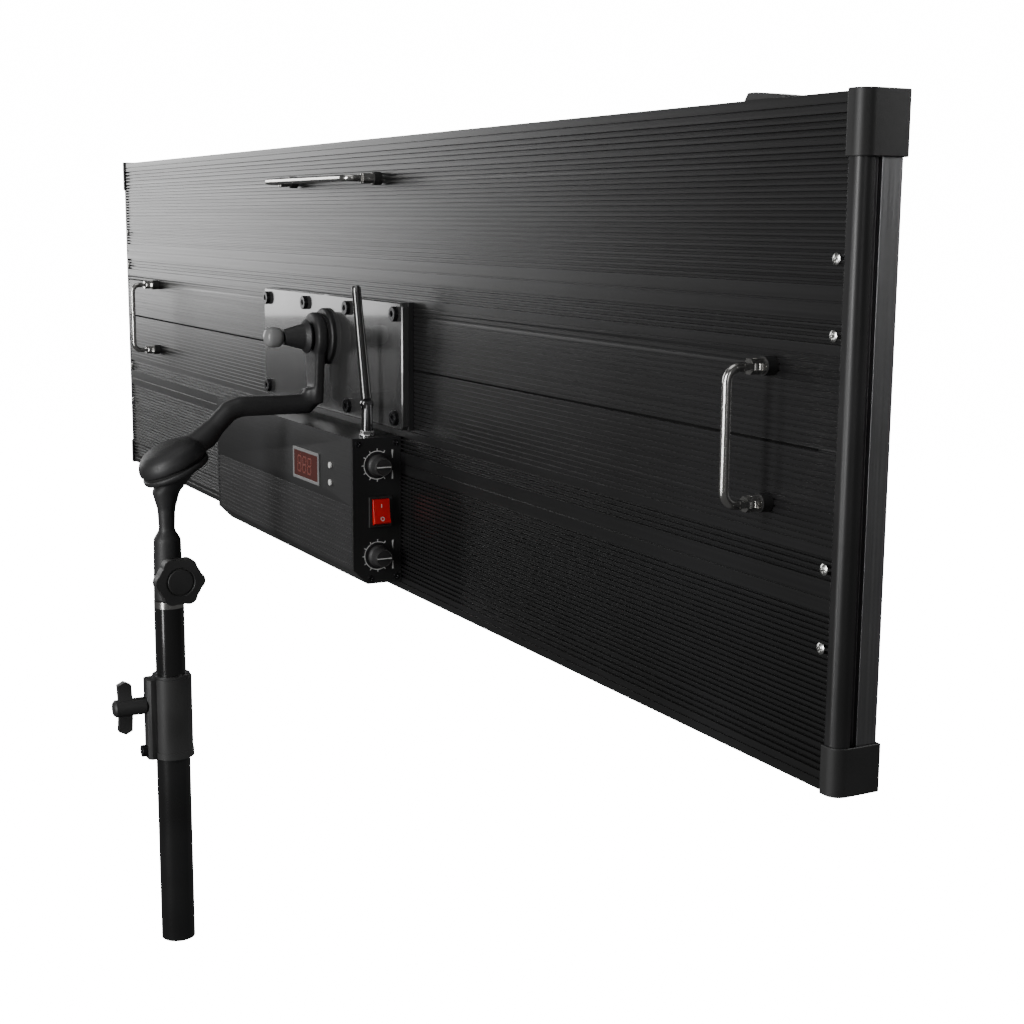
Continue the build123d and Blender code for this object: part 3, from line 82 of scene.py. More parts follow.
def makePiece(name, points, faces, material, node=None, body=None, sharpAngle=35.0, weld=True):
    # A closed mesh from whole arrays; doubles at poles are welded and the normals face outwards.
    mesh = bpy.data.meshes.new(name)
    mesh.from_pydata(np.asarray(points, dtype=float).reshape(-1, 3).tolist(), [], faces.tolist())
    if weld:
        shape = bmesh.new()
        shape.from_mesh(mesh)
        bmesh.ops.remove_doubles(shape, verts=shape.verts, dist=1e-6)
        bmesh.ops.recalc_face_normals(shape, faces=shape.faces)
        shape.to_mesh(mesh)
        shape.free()
    return finishPiece(name, mesh, material, node, body, sharpAngle)


def finishPiece(name, mesh, material, node, body, sharpAngle=35.0):
    mesh.materials.clear()
    mesh.materials.append(material)
    mesh.polygons.foreach_set("use_smooth", np.ones(len(mesh.polygons), dtype=bool))
    mesh.set_sharp_from_angle(angle=math.radians(sharpAngle))
    piece = bpy.data.objects.new(name, mesh)
    bpy.context.scene.collection.objects.link(piece)
    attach(piece, body or bodyOf[node])
    if node:
        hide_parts(node)
    return piece


def roundedProfile(points, radius, steps=5):
    # A polyline whose inner corners become arcs: each corner's two cut points lie the radius from it, at most
    # 0.45 of either side's length, and the arc between them is a quadratic curve through the corner's control
    # point.
    points = [np.array(p, dtype=float) for p in points]
    out = [points[0]]
    for before, corner, after in zip(points[:-2], points[1:-1], points[2:]):
        toBefore, toAfter = before - corner, after - corner
        lengthBefore, lengthAfter = np.linalg.norm(toBefore), np.linalg.norm(toAfter)
        cut = min(radius, 0.45 * lengthBefore, 0.45 * lengthAfter)
        start = corner + toBefore / lengthBefore * cut
        end = corner + toAfter / lengthAfter * cut
        t = np.linspace(0, 1, steps)[:, None]
        out.extend(list((1 - t) ** 2 * start + 2 * t * (1 - t) * corner + t**2 * end))
    out.append(points[-1])
    return np.array(out)


def turnedPoints(profile, centre, axis, side, segments=72, radiusAt=None):
    # Each profile point is (radius, height): it is carried round the axis through centre.
    axis = np.array(axis, dtype=float) / np.linalg.norm(axis)
    side = np.array(side, dtype=float)
    other = np.cross(axis, side)
    angle = np.linspace(0, 2 * np.pi, segments, endpoint=False)
    ring = np.cos(angle)[:, None] * side + np.sin(angle)[:, None] * other
    profile = np.asarray(profile, dtype=float)
    radius = np.repeat(profile[:, :1], segments, axis=1)
    if radiusAt is not None:
        radius = radiusAt(radius, profile[:, 1:], angle[None, :])
    return np.array(centre) + radius[..., None] * ring[None] + profile[:, 1, None, None] * axis


def turned(name, profile, centre, axis, side, material, node=None, body=None, segments=72,
           closed=False, radiusAt=None, sharpAngle=35.0):
    # A piece turned on a lathe. A closed profile is a ring; an open one starts and ends on the axis.
    points = turnedPoints(profile, centre, axis, side, segments, radiusAt)
    faces = gridFaces(len(profile), segments, closeRows=closed)
    return makePiece(name, points, faces, material, node, body, sharpAngle)


def joinedPoints(parts):
    # Several (points, faces) sets as one, each one's faces counted on from the last.
    allPoints, allFaces, offset = [], [], 0
    for points, faces in parts:
        points = np.asarray(points).reshape(-1, 3)
        allPoints.append(points)
        allFaces.append(faces + offset)
        offset += len(points)
    return np.concatenate(allPoints), np.concatenate(allFaces)


def ribbon(path, normal, width, thickness, closed=False):
    # A flat band along a path: at each point the section is a rectangle, width across and thickness up
    # the normal. The side is the normal crossed with the path's direction; a width may change along it.
    path = np.asarray(path, dtype=float)
    normal = np.asarray(normal, dtype=float) / np.linalg.norm(normal)
    if closed:
        along = np.roll(path, -1, axis=0) - np.roll(path, 1, axis=0)
    else:
        along = np.gradient(path, axis=0)
    along /= np.linalg.norm(along, axis=1)[:, None]
    side = np.cross(normal, along)
    half = np.broadcast_to(np.asarray(width, dtype=float) / 2, (len(path),))[:, None] * side
    up = normal * thickness
    points = np.stack([path - half, path + half, path + half + up, path - half + up], axis=1)
    faces = gridFaces(len(path), 4, closeRows=closed)
    if not closed:
        last = 4 * (len(path) - 1)
        ends = np.array([[3, 2, 1, 0], [last, last + 1, last + 2, last + 3]])
        faces = np.concatenate([faces, ends])
    return points.reshape(-1, 3), faces


def arc(centre, radius, first, second, start, end, steps):
    # Points on a circle in the plane of two directions, from one angle in degrees to the other.
    angle = np.radians(np.linspace(start, end, steps))[:, None]
    return np.array(centre) + radius * (np.cos(angle) * np.array(first) + np.sin(angle) * np.array(second))


def surfaceAt(node, start, direction):
    # Where a straight line from start first meets a CAD node, and the outward normal there.
    shape = bmesh.new()
    shape.from_mesh(frame["nodes"][node].data)
    tree = BVHTree.FromBMesh(shape)
    place, normal, _, _ = tree.ray_cast(Vector(start), Vector(direction).normalized())
    shape.free()
    if normal.dot(Vector(direction)) > 0:
        normal = -normal
    return np.array(place), np.array(normal)


def screwHead(place, axis, side, head):
    # A domed head with a cross recess, on a grid of radius and angle. Its height is the dome's,
    # crown x (1 - r squared), less the recess where the point lies within either arm of the cross.
    axis, side = np.array(axis, dtype=float), np.array(side, dtype=float)
    other = np.cross(axis, side)
    rings, spokes = head["rings"], head["spokes"]
    part = np.linspace(0, 1, rings)[:, None]
    angle = np.linspace(0, 2 * np.pi, spokes, endpoint=False)[None, :]
    x, y = part * np.cos(angle) * head["radius"], part * np.sin(angle) * head["radius"]
    near, far = np.minimum(abs(x), abs(y)), np.maximum(abs(x), abs(y))
    inArm = np.clip((head["armWidth"] / 2 - near) / 0.15 / mm, 0, 1)
    inArm *= np.clip((head["armReach"] - far) / 0.3 / mm, 0, 1)
    height = head["rim"] + head["crown"] * (1 - part**2) - head["recess"] * inArm
    top = np.array(place) + x[..., None] * side + y[..., None] * other + height[..., None] * axis
    foot = np.array(place) + x[-1:, :, None] * side + y[-1:, :, None] * other
    middle = np.repeat(np.array(place)[None, None, :], spokes, axis=1)
    points = np.concatenate([top, foot, middle])
    return points.reshape(-1, 3), gridFaces(rings + 2, spokes)


def softNode(node, material, edge=0.3, segments=2, angle=32.0, name=None):
    # A copy of a CAD node with its doubles merged, its flat faces joined and its edges rounded.
    mesh = frame["nodes"][node].data.copy()
    shape = bmesh.new()
    shape.from_mesh(mesh)
    bmesh.ops.remove_doubles(shape, verts=shape.verts, dist=2e-6)
    bmesh.ops.dissolve_limit(shape, angle_limit=math.radians(0.6), verts=shape.verts, edges=shape.edges)
    shape.to_mesh(mesh)
    shape.free()
    piece = finishPiece(name or node + "_soft", mesh, material, node, None, angle)
    bevel = piece.modifiers.new("edges", "BEVEL")
    bevel.width = edge * mm
    bevel.segments = segments
    bevel.limit_method = "ANGLE"
    bevel.angle_limit = math.radians(angle)
    bevel.harden_normals = True
    bevel.use_clamp_overlap = True
    return piece


def castNode(node, material, voxel=0.8, smoothing=6, name=None):
    # A casting or moulding: a copy of the CAD node is rebuilt on a fine grid and its edges are eased.
    mesh = frame["nodes"][node].data.copy()
    shape = bmesh.new()
    shape.from_mesh(mesh)
    bmesh.ops.remove_doubles(shape, verts=shape.verts, dist=2e-6)
    shape.to_mesh(mesh)
    shape.free()
    piece = finishPiece(name or node + "_cast", mesh, material, node, None, 180.0)
    remesh = piece.modifiers.new("grid", "REMESH")
    remesh.mode = "VOXEL"
    remesh.voxel_size = voxel * mm
    remesh.use_smooth_shade = True
    ease = piece.modifiers.new("ease", "SMOOTH")
    ease.factor = 0.5
    ease.iterations = smoothing
    return piece


# Materials


class Finish:
    # A procedural material: a shader with helpers that add patterns on Object coordinates.
    def __init__(self, name, color, metallic=0.0, roughness=0.5, **more):
        self.material = bpy.data.materials.new(name)
        self.material.use_nodes = True
        self.nodes = self.material.node_tree.nodes
        self.links = self.material.node_tree.links
        self.shader = self.nodes["Principled BSDF"]
        self.shader.inputs["Base Color"].default_value = (*color, 1.0)
        self.shader.inputs["Metallic"].default_value = metallic
        self.shader.inputs["Roughness"].default_value = roughness
        for socket, value in more.items():
            self.shader.inputs[socket.replace("_", " ")].default_value = value
        self.coords = self.nodes.new("ShaderNodeTexCoord")
        self.lastNormal = None

    def mapped(self, scale):
        mapping = self.nodes.new("ShaderNodeMapping")
        mapping.inputs["Scale"].default_value = scale
        self.links.new(self.coords.outputs["Object"], mapping.inputs["Vector"])
        return mapping.outputs["Vector"]

    def noise(self, scale, detail=3.0, roughness=0.5):
        noise = self.nodes.new("ShaderNodeTexNoise")
        noise.inputs["Scale"].default_value = 1.0
        noise.inputs["Detail"].default_value = detail
        noise.inputs["Roughness"].default_value = roughness
        self.links.new(self.mapped(scale), noise.inputs["Vector"])
        return noise.outputs["Fac"]

    def ramp(self, value, low, high, start=0.3, end=0.7):
        # Spreads a pattern between two numbers.
        node = self.nodes.new("ShaderNodeMapRange")
        node.inputs["From Min"].default_value = start
        node.inputs["From Max"].default_value = end
        node.inputs["To Min"].default_value = low
        node.inputs["To Max"].default_value = high
        self.links.new(value, node.inputs["Value"])
        return node.outputs["Result"]

    def tint(self, value, low, high, start=0.3, end=0.7):
        # The base colour goes from low to high as the pattern does.
        mix = self.nodes.new("ShaderNodeMix")
        mix.data_type = "RGBA"
        mix.inputs[6].default_value = (*low, 1.0)
        mix.inputs[7].default_value = (*high, 1.0)
        self.links.new(self.ramp(value, 0.0, 1.0, start, end), mix.inputs[0])
        self.links.new(mix.outputs[2], self.shader.inputs["Base Color"])
        return self

    def polish(self, value, low, high, start=0.3, end=0.7):
        self.links.new(self.ramp(value, low, high, start, end), self.shader.inputs["Roughness"])
        return self

    def bump(self, value, strength, depth=0.0002):
        node = self.nodes.new("ShaderNodeBump")
        node.inputs["Strength"].default_value = strength
        node.inputs["Distance"].default_value = depth
        self.links.new(value, node.inputs["Height"])
        if self.lastNormal:
            self.links.new(self.lastNormal, node.inputs["Normal"])
        self.lastNormal = node.outputs["Normal"]
        self.links.new(self.lastNormal, self.shader.inputs["Normal"])
        return self


def anodised(name, tone, low, high, metallic=0.55):
    # Black anodised extrusion: fine die lines along X over a slow change of tone.
    finish = Finish(name, (tone, tone, tone * 1.05), metallic, (low + high) / 2)
    lines = finish.noise((3, 900, 900), 4.0)
    cloud = finish.noise((9, 9, 9), 2.0)
    finish.tint(cloud, (tone * 0.8,) * 3, (tone * 1.25, tone * 1.25, tone * 1.3))
    finish.polish(lines, low, high)
    finish.bump(lines, 0.03, 0.0001)
    return finish.material


def powder(name, tone, low, high, grain=1600, strength=0.12):
    # Painted metal with a fine orange peel.
    finish = Finish(name, (tone,) * 3, 0.0, (low + high) / 2, Specular_IOR_Level=0.5)
    peel = finish.noise((grain,) * 3, 3.0)
    cloud = finish.noise((14,) * 3, 2.0)
    finish.tint(cloud, (tone * 0.8,) * 3, (tone * 1.3, tone * 1.3, tone * 1.35))
    finish.polish(cloud, low, high)
    finish.bump(peel, strength, 0.0002)
    return finish.material


def castPaint(name, tone):
    # Paint over a sand-cast skin: a coarse waviness under a fine grain.
    finish = Finish(name, (tone,) * 3, 0.0, 0.5)
    waves = finish.noise((120,) * 3, 3.0)
    grain = finish.noise((900,) * 3, 3.0)
    cloud = finish.noise((20,) * 3, 2.0)
    finish.tint(cloud, (tone * 0.75,) * 3, (tone * 1.35, tone * 1.35, tone * 1.4))
    finish.polish(grain, 0.42, 0.62)
    finish.bump(waves, 0.25, 0.0004)
    finish.bump(grain, 0.15, 0.0002)
    return finish.material


def moulded(name, tone, low=0.45, high=0.6, grain=1300):
    # Black moulded plastic with a spark-eroded texture.
    finish = Finish(name, (tone,) * 3, 0.0, 0.5)
    texture = finish.noise((grain,) * 3, 4.0, 0.6)
    cloud = finish.noise((25,) * 3, 2.0)
    finish.tint(cloud, (tone * 0.85,) * 3, (tone * 1.25,) * 3)
    finish.polish(cloud, low, high)
    finish.bump(texture, 0.2, 0.00015)
    return finish.material


def brushed(name, color, low, high, scale, metallic=1.0, strength=0.1):
    # Bare metal with brush lines across the given scale's stretched direction.
    finish = Finish(name, color, metallic, (low + high) / 2)
    lines = finish.noise(scale, 4.0, 0.6)
    cloud = finish.noise((30,) * 3, 2.0)
    finish.tint(cloud, tuple(c * 0.9 for c in color), tuple(min(1.0, c * 1.06) for c in color))
    finish.polish(lines, low, high)
    finish.bump(lines, strength, 0.00008)
    return finish.material


def enamel(name, tone, rough=0.09):
    # Gloss black paint with a trace of orange peel and dust.
    finish = Finish(name, (tone,) * 3, 0.0, rough, Coat_Weight=0.6, Coat_Roughness=0.05)
    peel = finish.noise((220,) * 3, 1.0)
    dust = finish.noise((24,) * 3, 3.0, 0.6)
    finish.tint(dust, (tone,) * 3, (tone * 1.15,) * 3)
    finish.polish(dust, rough * 0.95, rough * 1.1)
    finish.bump(peel, 0.008, 0.0001)
    return finish.material


def plain(name, color, rough, metallic=0.0, grain=700, strength=0.05, **more):
    # A quiet surface whose tone and gloss still vary a little.
    finish = Finish(name, color, metallic, rough, **more)
    cloud = finish.noise((40,) * 3, 3.0)
    finish.tint(cloud, tuple(c * 0.9 for c in color), tuple(min(1.0, c * 1.08) for c in color))
    finish.polish(cloud, rough * 0.85, min(1.0, rough * 1.2))
    finish.bump(finish.noise((grain,) * 3, 3.0), strength, 0.0001)
    return finish.material


blackSink = anodised("black_anodised_rib", 0.01, 0.28, 0.34, metallic=0.0)
blackColumn = powder("black_end_column", 0.013, 0.3, 0.4, 1400, 0.06)
boxPaint = anodised("box_anodised", 0.02, 0.36, 0.44, metallic=0.0)
platePaint = enamel("gloss_plate", 0.03, 0.24)
boxEndPaint = powder("box_end_paint", 0.012, 0.4, 0.5)
blackPaint = powder("black_paint", 0.012, 0.4, 0.5)
capPlastic = moulded("cap_plastic", 0.013, 0.42, 0.54)
knobPlastic = moulded("knob_plastic", 0.02, 0.42, 0.55)
castBlack = castPaint("cast_black", 0.018)
hubBlack = castPaint("hub_black", 0.007)
tubePaint = enamel("gloss_tube", 0.008, 0.2)
lowerPaint = powder("tube_paint", 0.01, 0.26, 0.36, 900, 0.05)
silverStrip = brushed("silver_strip", (0.24, 0.24, 0.245), 0.3, 0.44, (900, 900, 4), strength=0.08)
silverLong = brushed("silver_long", (0.2, 0.2, 0.205), 0.3, 0.44, (4, 900, 900), strength=0.08)
satinChrome = brushed("satin_chrome", (0.66, 0.65, 0.63), 0.2, 0.24, (1500, 1500, 1500), strength=0.004)
brightChrome = brushed("bright_chrome", (0.8, 0.8, 0.79), 0.08, 0.12, (900, 900, 900), strength=0.004)
darkChrome = brushed("dark_chrome", (0.22, 0.22, 0.225), 0.12, 0.22, (400, 400, 400), strength=0.02)
blackScrew = brushed("black_oxide", (0.03, 0.03, 0.032), 0.22, 0.36, (600, 600, 600), 0.8)
zincScrew = brushed("zinc_screw", (0.72, 0.72, 0.7), 0.2, 0.34, (600, 600, 600))
greyKnob = moulded("grey_knob", 0.2, 0.22, 0.34, 900)
frictionDisc = plain("friction_disc", (0.02, 0.02, 0.02), 0.7)
# Painted shade: near-black, matte and with little specular, for the strip that stands for the shadow in the
# seam
seamShadeBlack = plain("painted_seam_shade", (0.003, 0.003, 0.003), 0.9, Specular_IOR_Level=0.1)
whitePrint = plain("white_print", (0.6, 0.6, 0.59), 0.55)
redSwitch = plain("red_rocker", (0.6, 0.01, 0.008), 0.2, Transmission_Weight=0.1, Coat_Weight=0.4)
redWindow = plain("red_window", (0.085, 0.018, 0.014), 0.1, Coat_Weight=0.7)
dimSegment = plain("dim_segment", (0.16, 0.035, 0.025), 0.4)
windowRim = plain("window_rim", (0.2, 0.2, 0.2), 0.4)
whiteButton = plain("white_button", (0.7, 0.7, 0.68), 0.45)
antennaGloss = brushed("antenna_sleeve", (0.2, 0.2, 0.2), 0.18, 0.26, (900, 900, 900), strength=0.004)
greenBoard = plain("solder_mask", (0.01, 0.12, 0.04), 0.35)
whiteBoard = plain("white_mask", (0.78, 0.78, 0.76), 0.45)
reflectorWhite = plain("reflector_white", (0.8, 0.8, 0.79), 0.6)
phosphor = plain("phosphor", (0.85, 0.62, 0.12), 0.3, Coat_Weight=0.5)
frosted = plain("frosted_sheet", (0.9, 0.92, 0.94), 0.32, Alpha=0.3, IOR=1.49)
print("materials made")

# CAD pieces that keep their shape, with rounded edges

for node, material, edge in (
    ("heatsink_upper", blackSink, 0.14),
    ("heatsink_lower", blackSink, 0.14),
    ("end_column_near", blackColumn, 0.3),
    ("end_column_far", blackColumn, 0.3),
    ("bezel_top", silverLong, 0.3),
    ("bezel_bottom", silverLong, 0.3),
    ("bezel_near", silverStrip, 0.3),
    ("bezel_far", silverStrip, 0.3),
    ("mounting_plate", platePaint, 0.35),
    ("plate_rails", blackPaint, 0.3),
    ("roll_base", hubBlack, 0.4),
    ("box_housing", boxPaint, 0.3),
    ("box_end_near", boxEndPaint, 0.25),
    ("box_end_far", boxEndPaint, 0.25),
    ("display_window", windowRim, 0.2),
    ("top_retainer", capPlastic, 0.5),
    ("switch_body", knobPlastic, 0.3),
    ("power_inlet", knobPlastic, 0.25),
    ("collar_bushing", knobPlastic, 0.3),
    ("collar_screw", blackScrew, 0.3),
    ("antenna_socket", brightChrome, 0.25),
    ("handle_bases", capPlastic, 0.4),
    ("handle_forks", satinChrome, 0.3),
    ("roll_washer", frictionDisc, 0.2),
    ("swivel_washer", frictionDisc, 0.2),
    ("lock_stem", castBlack, 0.5),
    ("plate_screws", blackScrew, 0.4),
    ("corner_caps", capPlastic, 0.9),
    ("collar", knobPlastic, 0.7),
    ("wing_screw", knobPlastic, 0.8),
    ("receiver_knob", knobPlastic, 0.6),
    ("rocker", redSwitch, 0.4),
    ("antenna_base", darkChrome, 0.2),
    ("antenna_rod", antennaGloss, 0.3),
    ("button_up", whiteButton, 0.3),
    ("button_down", whiteButton, 0.3),
):
    softNode(node, material, edge)
print("rounded pieces made")

# Castings

castNode("support_arm", castBlack, 0.9, 24)
castNode("receiver", castBlack, 0.8, 16)
print("castings made")

# Nodes that keep the CAD mesh and get a finish

for node, material in (
    ("lower_tube", lowerPaint),
    ("riser_tube", tubePaint),
    ("spigot", satinChrome),
    ("brake_pad", frictionDisc),
    ("swivel_pin", satinChrome),
    ("joining_strip", blackPaint),
    ("diffuser", frosted),
    ("reflector_sheet", reflectorWhite),
    ("led_boards", whiteBoard),
    ("led_emitters", phosphor),
    ("control_board", greenBoard),
    ("display_module", redWindow),
    ("potentiometers", satinChrome),
    ("handle_pins", brightChrome),
    ("handle_bow_near", satinChrome),
    ("handle_bow_far", satinChrome),
    ("handle_bow_top", satinChrome),
):
    mesh = frame["nodes"][node].data
    mesh.materials.clear()
    mesh.materials.append(material)
print("plain nodes finished")

# The lock knob: a turned grey ball on the tapered stem

lockKnob = {"steps": 40, "squareness": 3, "fullness": 2.2}
low, high = corners("lock_knob")
ballRadius = (high[2] - low[2]) / 2
ballHeight = high[1] - low[1]
# The radius follows an oval squarer than a circle: one less the cube of |2t - 1|, to the power 1/2.2,
# as t goes from one end to the other.
t = np.linspace(0, 1, lockKnob["steps"])
ovalRadius = ballRadius * (1 - np.abs(2 * t - 1) ** lockKnob["squareness"]) ** (1 / lockKnob["fullness"])
turned(
    "lockBall",
    np.stack([ovalRadius, t * ballHeight], axis=1),
    ((low[0] + high[0]) / 2, low[1], (low[2] + high[2]) / 2),
    (0, 1, 0),
    (1, 0, 0),
    greyKnob,
    node="lock_knob",
)
print("lock knob made")

# Dials: turned knobs with a fluted grip, a bright rim and a white line

dial = {
    "gap": 0.6, "skirt": 7.6, "skirtHeight": 2.2, "shoulder": 0.9, "grip": 6.5, "taper": 0.25, "crown": 0.7,
    "round": 0.25, "flutes": 24, "fluteDepth": 0.14, "fluteFoot": 1.0, "fluteTop": 0.5, "face": 5.9,
    "rimInset": 0.2, "rimWidth": 0.5, "rimRise": 0.12, "lineWidth": 0.75, "lineRise": 0.1, "lineEnd": 5.4,
    "bar": 1.5, "barRise": 0.8, "hollow": 5.4, "hollowDepth": 2.2,
}
printMarks = {
    "ringRadius": 9.9, "ringWidth": 0.55, "tickStart": 10.0, "tickEnd": 11.7, "tickWidth": 0.6,
    "firstTick": 60, "lastTick": 300, "ticks": 9, "rise": 0.08,
    "wedgeY": 11.6, "wedgeNear": 4.4, "wedgeFar": 10.4, "wedgeThin": 0.4, "wedgeThick": 1.3,
}
outward = np.array((-1.0, 0.0, 0.0))
toPanel = np.array((0.0, -1.0, 0.0))
upwards = np.array((0.0, 0.0, 1.0))
plateX = corners("box_end_near")[0][0]
for name, node in (("dialUpper", "dimmer_knob_upper"), ("dialLower", "dimmer_knob_lower")):
    low, high = corners(node)
    centre = np.array((plateX, joints["dimmer_upper"]["pos_m"][1], (low[2] + high[2]) / 2))
    length = plateX - low[0]
    gap = dial["gap"] * mm
    face = length - dial["barRise"] * mm
    profile = roundedProfile(
        [
            (0, gap + dial["hollowDepth"] * mm),
            (dial["hollow"] * mm, gap + dial["hollowDepth"] * mm),
            (dial["hollow"] * mm, gap),
            (dial["skirt"] * mm, gap),
            (dial["skirt"] * mm, gap + dial["skirtHeight"] * mm),
            (dial["grip"] * mm, gap + (dial["skirtHeight"] + dial["shoulder"]) * mm),
            ((dial["grip"] - dial["taper"]) * mm, face - dial["crown"] * mm),
            (dial["face"] * mm, face),
            (0, face),
        ],
        dial["round"] * mm,
        4,
    )

    def fluted(radius, height, angle):
        # The grip's radius falls by the flute depth times the cosine squared of the flute angle.
        foot = gap + (dial["skirtHeight"] + dial["fluteFoot"]) * mm
        grip = (height > foot) & (height < face - dial["fluteTop"] * mm) & (radius > dial["face"] * mm * 0.98)
        wave = np.cos(angle * dial["flutes"] / 2) ** 2
        return radius - np.where(grip, wave, 0) * dial["fluteDepth"] * mm

    turned(
        name, profile, centre, outward, upwards, knobPlastic, node=node, segments=144, radiusAt=fluted,
    )
    body = bodyOf[node]
    faceCentre = centre + outward * face
    rim = ribbon(
        arc(faceCentre, (dial["face"] - dial["rimInset"]) * mm, toPanel, upwards, 0, 357.5, 144),
        outward, dial["rimWidth"] * mm, dial["rimRise"] * mm, closed=True,
    )
    makePiece(name + "Rim", *rim, satinChrome, body=body)
    ends = np.array([-dial["lineEnd"], dial["lineEnd"]])[:, None] * mm
    barTop = (dial["barRise"] - dial["lineRise"]) * mm
    bar = ribbon(faceCentre + ends * toPanel, outward, dial["bar"] * mm, barTop)
    makePiece(name + "Bar", *bar, knobPlastic, body=body)
    line = ribbon(
        faceCentre + ends * toPanel + outward * barTop,
        outward, dial["lineWidth"] * mm, dial["lineRise"] * mm,
    )
    makePiece(name + "Line", *line, whitePrint, body=body)

    # The printed scale round each dial
    marks = printMarks
    firstTick, lastTick = marks["firstTick"], marks["lastTick"]
    parts = [
        ribbon(
            arc(centre, marks["ringRadius"] * mm, toPanel, upwards, firstTick, lastTick, 90),
            outward, marks["ringWidth"] * mm, marks["rise"] * mm,
        )
    ]
    for angle in np.radians(np.linspace(firstTick, lastTick, marks["ticks"])):
        spoke = np.cos(angle) * toPanel + np.sin(angle) * upwards
        reach = np.array([marks["tickStart"], marks["tickEnd"]])[:, None] * mm
        parts.append(ribbon(centre + reach * spoke, outward, marks["tickWidth"] * mm, marks["rise"] * mm))
    for sign in (1, -1):
        reach = np.array([marks["wedgeNear"], marks["wedgeFar"]])[:, None] * mm * sign
        width = np.array([marks["wedgeThin"], marks["wedgeThick"]]) * mm
        start = centre + marks["wedgeY"] * mm * toPanel
        parts.append(ribbon(start + reach * upwards, outward, width, marks["rise"] * mm))
    makePiece(name + "Scale", *joinedPoints(parts), whitePrint, body="panel")
print("dials made")

# The switch marks lie on the rocker's two faces: a bar on the upper one and a ring on the lower one

switchMarks = {
    "upperRise": 4.4, "lowerRise": -4.6, "bar": 2.6, "barWidth": 0.6, "ring": 1.25, "ringWidth": 0.5,
    "thickness": 0.06, "lift": 0.01,
}
low, high = corners("rocker")
middle = (low + high) / 2
markThickness = switchMarks["thickness"] * mm
parts = []
for rise, isBar in ((switchMarks["upperRise"], True), (switchMarks["lowerRise"], False)):
    start = (low[0] - 0.02, middle[1], middle[2] + rise * mm)
    place, normal = surfaceAt("rocker", start, (1, 0, 0))
    slope = upwards - normal * normal.dot(upwards)
    slope /= np.linalg.norm(slope)
    place = place + normal * switchMarks["lift"] * mm
    if isBar:
        reach = np.array([-0.5, 0.5])[:, None] * switchMarks["bar"] * mm
        parts.append(ribbon(place + reach * slope, normal, switchMarks["barWidth"] * mm, markThickness))
    else:
        ring = arc(place, switchMarks["ring"] * mm, np.cross(normal, slope), slope, 0, 352, 45)
        parts.append(ribbon(ring, normal, switchMarks["ringWidth"] * mm, markThickness, closed=True))
makePiece("switchMarks", *joinedPoints(parts), whitePrint, body=bodyOf["rocker"])
print("switch marks made")

# The display: a dark red pane inside the light rim, with three faint figures of seven segments

display = {
    "rim": 2.2, "clearance": 0.05, "depth": 0.5, "pane": 0.25, "digitHeight": 11.5, "digitWidth": 6.4,
    "pitch": 10.2, "shiftX": -3.0, "segment": 1.25, "segmentRise": 0.02, "slant": 0.09, "gap": 0.35,
}
low, high = corners("display_window")
middle = (low + high) / 2
paneY = high[1] - display["depth"] * mm
paneInset = (display["rim"] + display["clearance"]) * mm
halfX = (high[0] - low[0]) / 2 - paneInset
paneHeight = high[2] - low[2] - 2 * paneInset
backwards = np.array((0.0, 1.0, 0.0))
towardNear = np.array((-1.0, 0.0, 0.0))
paneEnds = np.array([-halfX, halfX])[:, None] * towardNear + np.array((middle[0], paneY, middle[2]))
makePiece(
    "displayPane",
    *ribbon(paneEnds, backwards, paneHeight, display["pane"] * mm),
    redWindow,
    body="panel",
)
tall, wide = display["digitHeight"] / 2 * mm, display["digitWidth"] / 2 * mm
short = display["gap"] * mm
segments = [
    ((-wide + short, tall), (wide - short, tall)),
    ((-wide + short, 0), (wide - short, 0)),
    ((-wide + short, -tall), (wide - short, -tall)),
    ((-wide, short), (-wide, tall - short)),
    ((wide, short), (wide, tall - short)),
    ((-wide, -tall + short), (-wide, -short)),
    ((wide, -tall + short), (wide, -short)),
]
parts = []
for place in (-1, 0, 1):
    for start, end in segments:
        flat = np.array([start, end])
        flat[:, 0] += flat[:, 1] * display["slant"] + (place * display["pitch"] + display["shiftX"]) * mm
        points = np.array((middle[0], paneY + display["pane"] * mm, middle[2])) + flat[:, :1] * towardNear
        points = points + flat[:, 1:] * upwards
        parts.append(ribbon(points, backwards, display["segment"] * mm, display["segmentRise"] * mm))
makePiece("displayFigures", *joinedPoints(parts), dimSegment, body="panel")
print("display made")

# Painted shade: a near-black matte strip laid in the seam between the two ribbed extrusions, standing for the
# shadow in the gap

seamShadeStrip = {"width": 1.0, "rise": 0.04, "inset": 13.0}
sinkLow, sinkHigh = corners("heatsink_lower")
ends = np.array([(sinkLow[0] + seamShadeStrip["inset"] * mm, 0, 0), (sinkHigh[0] - seamShadeStrip["inset"] * mm, 0, 0)])
ends += np.array((0, sinkHigh[1], sinkHigh[2]))
# The strip is painted shade: it darkens the seam as its shadow would
shadeBand = ribbon(ends, backwards, seamShadeStrip["width"] * mm, seamShadeStrip["rise"] * mm)
makePiece("seamShadeStrip", *shadeBand, seamShadeBlack, body="panel")
print("seam seal made")

# Small screws: bright ones down both ends of the ribs, dark ones in the box's end plates

